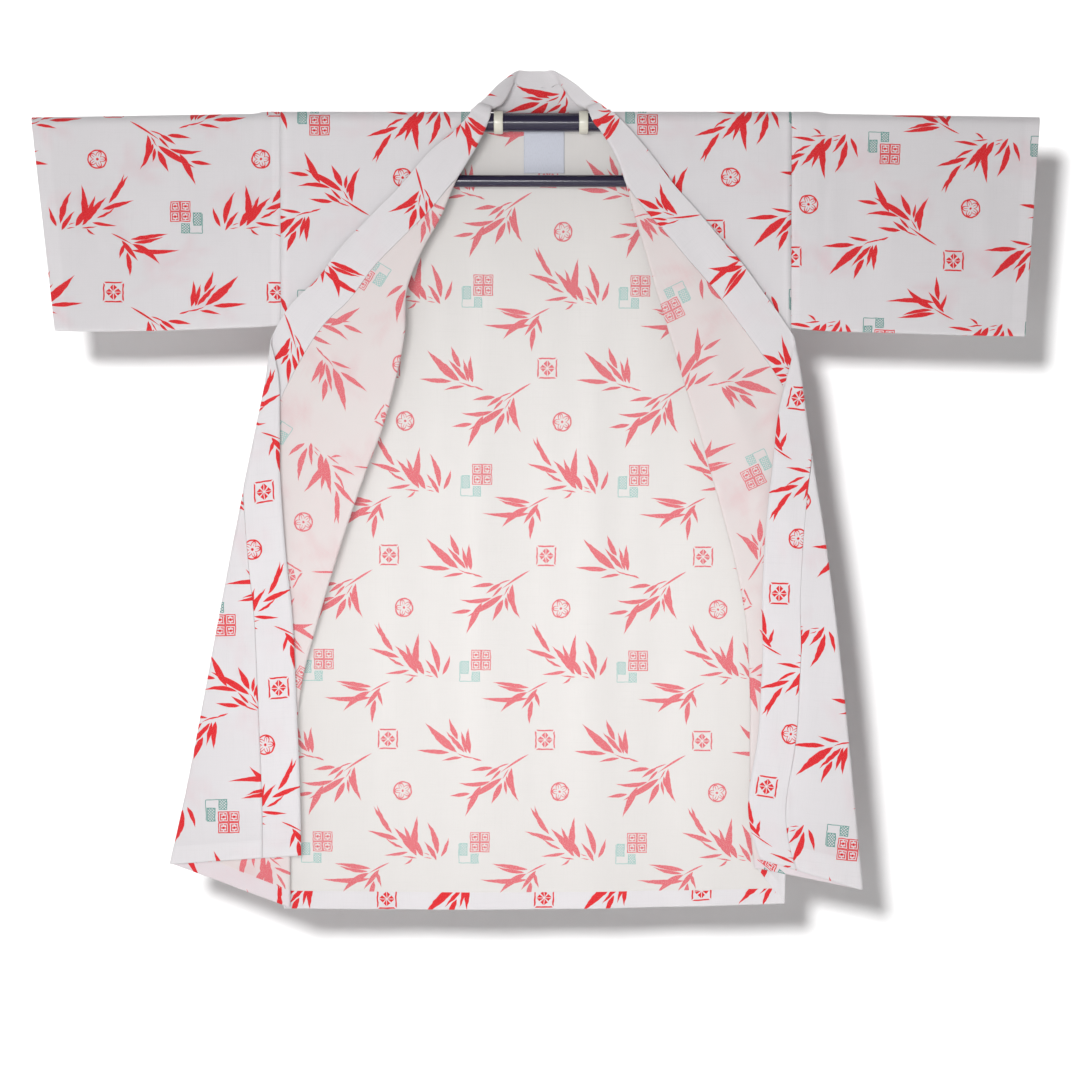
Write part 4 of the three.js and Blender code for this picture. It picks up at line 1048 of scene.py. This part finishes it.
class Graph:
    """Adds nodes to a tree in the order that they are worked out, and links or sets their inputs."""

    def __init__(self, tree):
        self.tree = tree

    def put(self, socket, value):
        value = getattr(value, "socket", value)
        if isinstance(value, bpy.types.NodeSocket):
            self.tree.links.new(value, socket)
        else:
            socket.default_value = value

    def fill(self, node, values):
        for name, value in values.items():
            self.put(node.inputs[name], value)

    def node(self, kind, *values, **settings):
        node = self.tree.nodes.new(kind)
        for key, value in settings.items():
            setattr(node, key, value)
        for socket, value in zip(node.inputs, values):
            self.put(socket, value)
        return node

    def add(self, kind, *values, out=0, **settings):
        return Value(self, self.node(kind, *values, **settings).outputs[out])

    def math(self, operation, *values, clamp=False):
        return self.add("ShaderNodeMath", *values, operation=operation, use_clamp=clamp)

    def vector(self, operation, *values, out=0):
        return self.add("ShaderNodeVectorMath", *values, operation=operation, out=out)

    def split(self, vector, count=2):
        outputs = self.node("ShaderNodeSeparateXYZ", vector).outputs
        return [Value(self, output) for output in outputs[:count]]

    def place(self, vector, at, turn=0.0, size=(1, 1)):
        """The vector seen from a frame at `at`, turned and measured in `size`."""
        return self.add("ShaderNodeMapping", vector, (*at, 0), (0, 0, turn), (*size, 1),
                        vector_type="TEXTURE")

    def step(self, value, low, high):
        """Smooth step of a value from low to high."""
        return self.add("ShaderNodeMapRange", value, low, high, 0.0, 1.0,
                        interpolation_type="SMOOTHSTEP")

    def union(self, masks):
        result = masks[0]
        for mask in masks[1:]:
            result = self.math("MAXIMUM", result, mask)
        return result

    def band(self, value, middle, half, soft=0.25):
        """1 where the value is within `half` of the middle."""
        return self.step(abs(value - middle if middle else value), half + soft, half - soft)

    def colour_mix(self, share, a, b, mode="MIX"):
        node = self.node("ShaderNodeMix", data_type="RGBA", blend_type=mode)
        colours = [s for s in node.inputs if s.type == "RGBA"]
        for socket, value in zip([node.inputs["Factor"]] + colours, (share, a, b)):
            self.put(socket, value)
        return Value(self, next(s for s in node.outputs if s.type == "RGBA"))

    def scaled_noise(self, vector, cell, detail=1.0, turn=0.0, dimensions="2D"):
        """Noise whose cells measure `cell` (metres) along the two directions of the vector."""
        node = self.node("ShaderNodeTexNoise", noise_dimensions=dimensions)
        self.fill(node, {"Vector": self.place(vector, (0, 0), turn, cell), "Scale": 1.0,
                         "Detail": detail})
        return Value(self, node.outputs["Fac"])

    def relief(self, height, strength, distance):
        node = self.node("ShaderNodeBump")
        self.fill(node, {"Strength": strength, "Distance": distance, "Height": height})
        return node.outputs[0]


def three_leaves(graph, u, v, leaves):
    """Up to three leaves at once, one in each component of a vector. For each, t runs from foot to
    tip, the half width is that of t(1-t)(1-0.7t), and the middle line bows by bend times the length.
    Positive inside."""
    table = np.array([leaves[min(i, len(leaves) - 1)] for i in range(3)], float)
    foot_u, foot_v, tip_u, tip_v, width, bend = table.T
    du, dv = tip_u - foot_u, tip_v - foot_v
    square = du * du + dv * dv
    across = np.sqrt(square) * LEAF_SWELL * width / 2
    linear = lambda a, b, c: graph.vector(
        "MULTIPLY_ADD", v, b.tolist(), graph.vector("MULTIPLY_ADD", u, a.tolist(), c.tolist()))
    t = linear(du / square, dv / square, -(foot_u * du + foot_v * dv) / square)
    off = linear(-dv / across, du / across, (foot_u * dv - foot_v * du) / across)
    left = graph.vector("MAXIMUM", graph.vector("SUBTRACT", (1, 1, 1), t), (0, 0, 0))
    bow = graph.vector("MULTIPLY", t, left)
    taper = graph.vector("MULTIPLY_ADD", t, (-LEAF_TAPER,) * 3, (1, 1, 1))
    off = graph.vector("MULTIPLY_ADD", bow, (4 * bend * square / across).tolist(), off)
    return graph.vector("SUBTRACT", graph.vector("MULTIPLY", bow, taper), graph.vector("ABSOLUTE", off))


def wrapped(graph, chart, centre):
    """The chart folded into the one repeat that is centred on a mark or spray."""
    ends = [(centre[0] + sign * REPEAT[0] / 2, centre[1] + sign * REPEAT[1] / 2, sign)
            for sign in (1, -1)]
    return graph.vector("WRAP", chart, *ends)


def mark_frame(graph, chart, mark):
    """A mark's own frame, its x and y, the greater of their sizes, and the mark's half size."""
    u, v, half = mark
    point = graph.place(wrapped(graph, chart, (u, v)), (u, v))
    x, y = graph.split(point)
    return point, x, y, graph.math("MAXIMUM", abs(x), abs(y)), half


def medallion_mask(graph, chart):
    """Round mark: a ring, and inside it the outline of five petals round a small dot."""
    point, x, y, _, half = mark_frame(graph, chart, MEDALLION)
    radius = graph.vector("LENGTH", point, out=1)
    petal = abs(graph.math("COSINE", graph.math("ARCTAN2", y, x) * 2.5))
    outline = graph.band(radius - graph.math("MULTIPLY_ADD", petal, 5.6, 4.6), 0, 0.85)
    ribs = graph.step(petal, 0.985, 0.995) * graph.band(radius, 6.4, 2.4)
    return graph.union([graph.band(radius, half - 1.1, 0.95), outline, ribs, graph.band(radius, 0, 1.7)])


def fret_mask(graph, chart):
    """Square mark of two by two blocks: each holds nested squares with a gap, like a key fret."""
    _, x, y, reach, half = mark_frame(graph, chart, FRET)
    block = half / 2
    bx, by = abs(x) - block, abs(y) - block
    nest = graph.math("MAXIMUM", abs(bx), abs(by))
    squares = [graph.band(nest, block - 0.65, 0.6), graph.band(nest, block - 2.95, 0.6),
               graph.band(nest, 0.6, 0.9)]
    bars = graph.band(by, 0, 0.55) * graph.band(bx, 0, block - 2.6)
    notch = graph.band(bx, 0, 0.6) * graph.band(nest, block - 2.75, 0.9)
    lines = graph.math("SUBTRACT", graph.union(squares + [bars]), notch, clamp=True)
    return lines * graph.step(reach, half + 0.2, half - 0.2)


def framed_mask(graph, chart):
    """Square mark: a frame, open at its corners, round four pointed petals parted by a fine cross."""
    _, x, y, high, half = mark_frame(graph, chart, FRAMED)
    ax, ay = abs(x), abs(y)
    low = graph.math("MINIMUM", ax, ay)
    frame = graph.band(high, half - 1.0, 1.0) * graph.step(abs(ax - ay), 0.8, 2.0)
    lens = graph.step(high * 0.85 - low, 0.3, 0.7)
    tip = graph.step(10.2 - graph.math("MULTIPLY_ADD", low, 0.9, high), -0.3, 0.3)
    return graph.union([frame, lens * tip * graph.step(low, 0.2, 0.65)])


def lattice_mask(graph, chart):
    """Green mark: two small panels of crossed lines and an angle of fine lines round their corner."""
    point = wrapped(graph, chart, LATTICE[0][:2])
    masks = []
    for u, v, half_u, half_v in LATTICE:
        x, y = graph.split(graph.place(point, (u, v)))
        edge = graph.math("MINIMUM", half_u - abs(x), half_v - abs(y))
        crossed = [graph.step(graph.math("PINGPONG", line, 1.7), 0.7, 0.4) for line in (x + y, x - y)]
        masks.append(graph.band(x, 0, half_u) * graph.band(y, 0, half_v)
                     * graph.union([graph.step(edge, 1.05, 0.7)] + crossed))
    u, v, half_u, half_v = LATTICE_ANGLE
    x, y = graph.split(graph.place(point, (u, v)))
    upright = graph.band(x, half_u, 0.45) * graph.band(y, 0, half_v)
    foot = graph.band(y, -half_v, 0.45) * graph.band(x, 0, half_u)
    return graph.union(masks + [upright, foot])


def print_group():
    """Node group: from the chart in metres to the share of red and of green print."""
    tree = bpy.data.node_groups.get("leaf print")
    if tree:
        return tree
    tree = bpy.data.node_groups.new("leaf print", "ShaderNodeTree")
    for name, way, kind in (("Chart", "INPUT", "Vector"), ("Red", "OUTPUT", "Float"),
                            ("Green", "OUTPUT", "Float")):
        tree.interface.new_socket(name, in_out=way, socket_type=f"NodeSocket{kind}")
    graph = Graph(tree)
    start = graph.add("NodeGroupInput")
    wobble = graph.vector("SUBTRACT", graph.scaled_noise(start, WOBBLE_CELL, detail=0.0), (0.5,) * 3)
    chart = graph.vector("MULTIPLY_ADD", start, (1 / MM,) * 3, graph.vector("MULTIPLY", wobble, WOBBLE))
    deepest = None
    for _, leaves in SPRAY_LEAVES:
        centre = spray_window(leaves) + np.array(REPEAT) / 2
        x, y = graph.split(wrapped(graph, chart, centre.tolist()))
        u, v = (graph.add("ShaderNodeCombineXYZ", c, c, c) for c in (x, y))
        for first in range(0, len(leaves), 3):
            inside = three_leaves(graph, u, v, leaves[first:first + 3])
            deepest = graph.vector("MAXIMUM", deepest, inside) if deepest else inside
    leaves_red = graph.step(graph.union(graph.split(deepest, 3)), *LEAF_SOFTNESS)
    red = graph.union([leaves_red, medallion_mask(graph, chart), fret_mask(graph, chart),
                       framed_mask(graph, chart)])
    graph.node("NodeGroupOutput", red, lattice_mask(graph, chart))
    return tree


def new_material(name):
    material = bpy.data.materials.new(name)
    material.use_nodes = True
    material.node_tree.nodes.clear()
    graph = Graph(material.node_tree)
    shader = graph.node("ShaderNodeBsdfPrincipled")
    graph.node("ShaderNodeOutputMaterial", shader.outputs[0])
    return material, graph, shader


def rgba(colour, share=1.0):
    """A colour darkened to a share of itself, with full cover."""
    return (*(c * share for c in colour), 1.0)


def cotton(name, ground, red, green, speckle):
    """Printed cotton: ground with slubs, times the tint attribute, which holds what shows through from
    behind, whiter doubled cloth and painted light (highlights of the back's folds, shade on the lapels);
    leaves and marks over it;
    on the wrong side the ink is speckled where it only soaks through."""
    made = bpy.data.materials.get(name)
    if made:
        return made
    material, graph, shader = new_material(name)
    uv = graph.add("ShaderNodeUVMap", uv_map="print")
    ink = graph.node("ShaderNodeGroup", node_tree=print_group())
    graph.put(ink.inputs[0], uv)
    warp, weft, cloudy, grain = (graph.scaled_noise(uv, cell) for cell in COTTON_CELLS)
    slub = graph.step(warp, 0.50, 0.85) + graph.step(weft, 0.52, 0.85)
    tint = graph.add("ShaderNodeAttribute", attribute_name="tint")
    cloth = graph.colour_mix(1.0, rgba(ground), tint, "MULTIPLY")
    cloth = graph.colour_mix(slub * 0.35, cloth, rgba(ground, 0.94))
    cloth = graph.colour_mix(graph.step(cloudy, 0.35, 0.75) * 0.25, cloth, rgba(ground, 0.965))
    cover = graph.math("MULTIPLY_ADD", graph.step(grain, 0.25, 0.55), speckle, 1.0 - speckle)
    red_share, green_share = (Value(graph, output) * cover for output in ink.outputs)
    inked = graph.colour_mix(red_share, graph.colour_mix(green_share, cloth, rgba(green)), rgba(red))
    thread_u, thread_v = (graph.math("SINE", c * (TAU / THREAD_PITCH)) for c in graph.split(uv))
    height = graph.math("MULTIPLY_ADD", slub, 1.6, thread_u * thread_v * 0.5)
    graph.fill(shader, {
        "Base Color": inked, "Roughness": graph.math("MULTIPLY_ADD", slub, 0.05, 0.82),
        "Sheen Weight": 0.08, "Sheen Roughness": 0.6, "Specular IOR Level": 0.25,
        "Normal": graph.relief(height, size_of("weave"), WEAVE_DEPTH)})
    return material


def cottons():
    """The two finishes of the cloth: right side and wrong side."""
    c = bpy.context.scene.yukata_colours
    return (cotton("printed cotton, right side", c.ground, c.red, c.green, 0.08),
            cotton("printed cotton, wrong side", c.ground_wrong, c.red_wrong, c.green_wrong, 0.35))


def ribbon():
    """Care label: a close satin ribbon, fine ribs across it."""
    material, graph, shader = new_material("label ribbon")
    uv = graph.add("ShaderNodeUVMap", uv_map="print")
    rib = graph.math("SINE", graph.split(uv)[1] * (TAU / RIB_PITCH))
    fleck = graph.scaled_noise(uv, FLECK_CELL)
    base = bpy.context.scene.yukata_colours.label
    graph.fill(shader, {
        "Base Color": graph.colour_mix(graph.step(fleck, 0.4, 0.8), rgba(base), rgba(base, 0.93)),
        "Roughness": graph.math("MULTIPLY_ADD", fleck, 0.15, 0.45), "Sheen Weight": 0.1,
        "Normal": graph.relief(graph.math("MULTIPLY_ADD", rib, 0.5, fleck), 0.15, RIB_DEPTH)})
    return material


def moulded_plastic(name, colour, roughness, scuffs):
    """Moulded plastic: a faint mottle, fine scuffs along the rod and a slightly wavy skin."""
    made = bpy.data.materials.get(name)
    if made:
        return made
    material, graph, shader = new_material(name)
    place = graph.add("ShaderNodeTexCoord", out=3)
    mottle = graph.scaled_noise(place, MOTTLE_CELL, detail=4.0, dimensions="3D")
    scratch = graph.scaled_noise(place, SCRATCH_CELL, detail=3.0, turn=0.02, dimensions="3D")
    worn = graph.step(scratch, 0.58, 0.8) * scuffs
    base = graph.colour_mix(mottle * 0.4, rgba(colour), rgba(colour, 0.8))
    lighter = rgba([min(1.0, c * 1.25 + 0.02) for c in colour])
    rough = graph.math("MULTIPLY_ADD", mottle, 0.08, roughness)
    graph.fill(shader, {
        "Base Color": graph.colour_mix(worn, base, lighter),
        "Roughness": graph.math("MULTIPLY_ADD", worn, 0.25, rough),
        "Coat Weight": 0.25, "Coat Roughness": 0.12,
        "Normal": graph.relief(mottle, 0.08, PLASTIC_DEPTH)})
    return material


# ---- operators ----

class YUKATA_OT_back(bpy.types.Operator):
    """Make the back of the yukata"""
    bl_idname = "yukata.back"
    bl_label = "Back"

    def execute(self, context):
        finish_cloth(make_back(), "back", flat=(0.68, 1.07), held="hung", rests_on=["hanger_pole"])
        return {"FINISHED"}


class YUKATA_OT_fronts(bpy.types.Operator):
    """Make the two fronts, each folded back into a lapel"""
    bl_idname = "yukata.fronts"
    bl_label = "Fronts"

    def execute(self, context):
        for front in (LEFT, RIGHT):
            finish_cloth(make_front(front), f"front_{front.name}", flat=(0.3, 1.07), held="folded",
                         rests_on=["hanger_pole"], area=0.27)
        return {"FINISHED"}


class YUKATA_OT_sleeves(bpy.types.Operator):
    """Make the two straight sleeves"""
    bl_idname = "yukata.sleeves"
    bl_label = "Sleeves"

    def execute(self, context):
        for side, name, table in ((-1, "left", SLEEVE_LEFT), (1, "right", SLEEVE_RIGHT)):
            finish_cloth(make_sleeve(side, name, table), f"sleeve_{name}", flat=(0.31, 0.57),
                         held="hung", rests_on=[f"hanger_arm_{name}"])
        return {"FINISHED"}


class YUKATA_OT_collar(bpy.types.Operator):
    """Make the doubled collar band from hem to hem"""
    bl_idname = "yukata.collar"
    bl_label = "Collar"

    def execute(self, context):
        finish_cloth(make_collar(), "collar", flat=(0.049, 2.5), held="folded",
                     rests_on=["hanger_pole"])
        return {"FINISHED"}


class YUKATA_OT_label(bpy.types.Operator):
    """Make the blank care label"""
    bl_idname = "yukata.label"
    bl_label = "Care label"

    def execute(self, context):
        piece = make_label()
        piece.data.materials.append(ribbon())
        stand_in(piece, "care_label")
        return {"FINISHED"}


class YUKATA_OT_hanger(bpy.types.Operator):
    """Make the pole hanger: pole, arms, lower bar, its links and two clamps"""
    bl_idname = "yukata.hanger"
    bl_label = "Hanger"

    def execute(self, context):
        c = context.scene.yukata_colours
        navy = moulded_plastic("navy plastic", c.navy, 0.16, 0.35)
        ivory = moulded_plastic("ivory plastic", c.ivory, 0.32, 0.2)
        hanger_piece("rod_pole", "pole", navy, rod_profile(POLE_HALF, POLE_RADIUS), (0, 0, 0))
        hanger_piece("rod_bar", "bar", navy, rod_profile(BAR_HALF, BAR_RADIUS), (0, 0, BAR_Z))
        start, tip = POLE_HALF + HANGER_GAP, ARM_TIP
        arm, middle = rod_profile((tip - start) / 2, ARM_RADIUS), (start + tip) / 2
        top, foot = -POLE_RADIUS - HANGER_GAP, BAR_Z + BAR_RADIUS + HANGER_GAP
        link = rod_profile((top - foot) / 2, LINK_RADIUS, LINK_EDGE)
        for name, side in (("left", -1), ("right", 1)):
            hanger_piece(f"rod_arm_{name}", f"arm_{name}", navy, arm,
                         (side * middle, 0, -(middle - POLE_HALF) * ARM_DROOP), side * ARM_DROOP)
            hanger_piece(f"rod_link_{name}", f"link_{name}", navy, link,
                         (side * LINK_OUT, 0, (top + foot) / 2), math.pi / 2)
            hanger_piece(f"clamp_{name}", f"clamp_{name}", ivory, CLAMP_PROFILE,
                         (side * CLAMP_OUT, 0, 0))
        return {"FINISHED"}


class YUKATA_OT_stage(bpy.types.Operator):
    """Make the pale floor and wall, the lights and the camera"""
    bl_idname = "yukata.stage"
    bl_label = "Studio"

    def execute(self, context):
        scene, sizes = context.scene, context.scene.yukata_sizes
        garment = [piece for piece in scene.objects if piece.type == "MESH"]
        low, far, top = -sizes.floor_drop, sizes.wall_gap, STAGE_REACH
        floor = stage_plane("floor", [(-top, -top, low), (top, -top, low), (top, top, low),
                                      (-top, top, low)], see_behind=False)
        wall = stage_plane("wall", [(-top, far, low), (top, far, low), (top, far, top),
                                    (-top, far, top)], see_behind=True)
        lamps = {name: add_lamp(name, *values) for name, *values in LAMPS}
        light_only((lamps["key light"], lamps["pool light"]), "lit by the key", garment)
        light_only((lamps["wall light"],), "lit by the wall light", (floor, wall))
        scene.world = bpy.data.worlds.new("studio")
        scene.world.use_nodes = True
        graph = Graph(scene.world.node_tree)
        seen = graph.add("ShaderNodeLightPath", out=0)
        strength = graph.math("MULTIPLY_ADD", seen, 1 - WORLD_LIGHT, WORLD_LIGHT)
        graph.fill(graph.tree.nodes["Background"], {"Color": (1, 1, 1, 1), "Strength": strength})
        scene.view_settings.view_transform = "Standard"
        lens = bpy.data.cameras.new("camera")
        lens.lens, lens.sensor_width, lens.clip_end = LENS, SENSOR, CLIP_END
        camera = bpy.data.objects.new("camera", lens)
        camera.location = CAMERA_PLACE
        camera.rotation_euler = (math.pi / 2, 0, 0)
        scene.collection.objects.link(camera)
        scene.camera = camera
        return {"FINISHED"}


def stage_plane(name, points, see_behind):
    """A plane of pale matt paint; the wall's back is clear, so that it hides nothing from behind."""
    material, graph, shader = new_material(f"{name} paint")
    place = graph.add("ShaderNodeTexCoord", out=3)
    mottle = graph.scaled_noise(place, PAINT_CELL, dimensions="3D")
    tones = (rgba((tone,) * 3) for tone in PAINT_TONES)
    graph.fill(shader, {"Base Color": graph.colour_mix(mottle, *tones), "Roughness": 0.9,
                        "Specular IOR Level": 0.1})
    if see_behind:
        behind = graph.add("ShaderNodeNewGeometry", out=6)
        clear = graph.add("ShaderNodeBsdfTransparent")
        both = graph.add("ShaderNodeMixShader", behind, shader.outputs[0], clear)
        output = next(n for n in graph.tree.nodes if n.bl_idname == "ShaderNodeOutputMaterial")
        graph.put(output.inputs[0], both)
    mesh = bpy.data.meshes.new(name)
    mesh.from_pydata(points, [], [(0, 1, 2, 3)])
    mesh.materials.append(material)
    plane = bpy.data.objects.new(name, mesh)
    bpy.context.scene.collection.objects.link(plane)
    return plane


def add_lamp(name, kind, place, target, size, power):
    """A round area lamp, or a spot whose pool fades from its middle to its edge."""
    light = bpy.data.lights.new(name, kind)
    light.energy = power
    if kind == "AREA":
        light.shape, light.size = "DISK", size
    else:
        light.spot_size, light.spot_blend = math.radians(POOL_ANGLE), 1.0
        light.shadow_soft_size = size
    lamp = bpy.data.objects.new(name, light)
    lamp.location = place
    lamp.rotation_euler = (Vector(target) - Vector(place)).to_track_quat("-Z", "Y").to_euler()
    bpy.context.scene.collection.objects.link(lamp)
    return lamp


def light_only(lamps, name, pieces):
    """Let the lamps light these pieces and nothing else."""
    group = bpy.data.collections.new(name)
    for piece in pieces:
        group.objects.link(piece)
    for lamp in lamps:
        lamp.light_linking.receiver_collection = group


STEPS = ("back", "fronts", "sleeves", "collar", "label", "hanger", "stage")


class YUKATA_PT_panel(bpy.types.Panel):
    """Sizes, colours and the makers of each group of pieces"""
    bl_label = "Short yukata"
    bl_idname = "YUKATA_PT_panel"
    bl_space_type = "VIEW_3D"
    bl_region_type = "UI"
    bl_category = "Yukata"

    def draw(self, context):
        for group in (context.scene.yukata_sizes, context.scene.yukata_colours):
            box = self.layout.box()
            for name in group.__annotations__:
                box.prop(group, name)
        for step in STEPS:
            self.layout.operator(f"yukata.{step}")


CLASSES = (YukataSizes, YukataColours, YUKATA_OT_back, YUKATA_OT_fronts, YUKATA_OT_sleeves,
           YUKATA_OT_collar, YUKATA_OT_label, YUKATA_OT_hanger, YUKATA_OT_stage, YUKATA_PT_panel)


def register():
    for cls in CLASSES:
        bpy.utils.register_class(cls)
    bpy.types.Scene.yukata_sizes = bpy.props.PointerProperty(type=YukataSizes)
    bpy.types.Scene.yukata_colours = bpy.props.PointerProperty(type=YukataColours)


def unregister():
    del bpy.types.Scene.yukata_sizes
    del bpy.types.Scene.yukata_colours
    for cls in reversed(CLASSES):
        bpy.utils.unregister_class(cls)


def main():
    register()
    for step in STEPS:
        getattr(bpy.ops.yukata, step)()


if __name__ == "__main__":
    main()
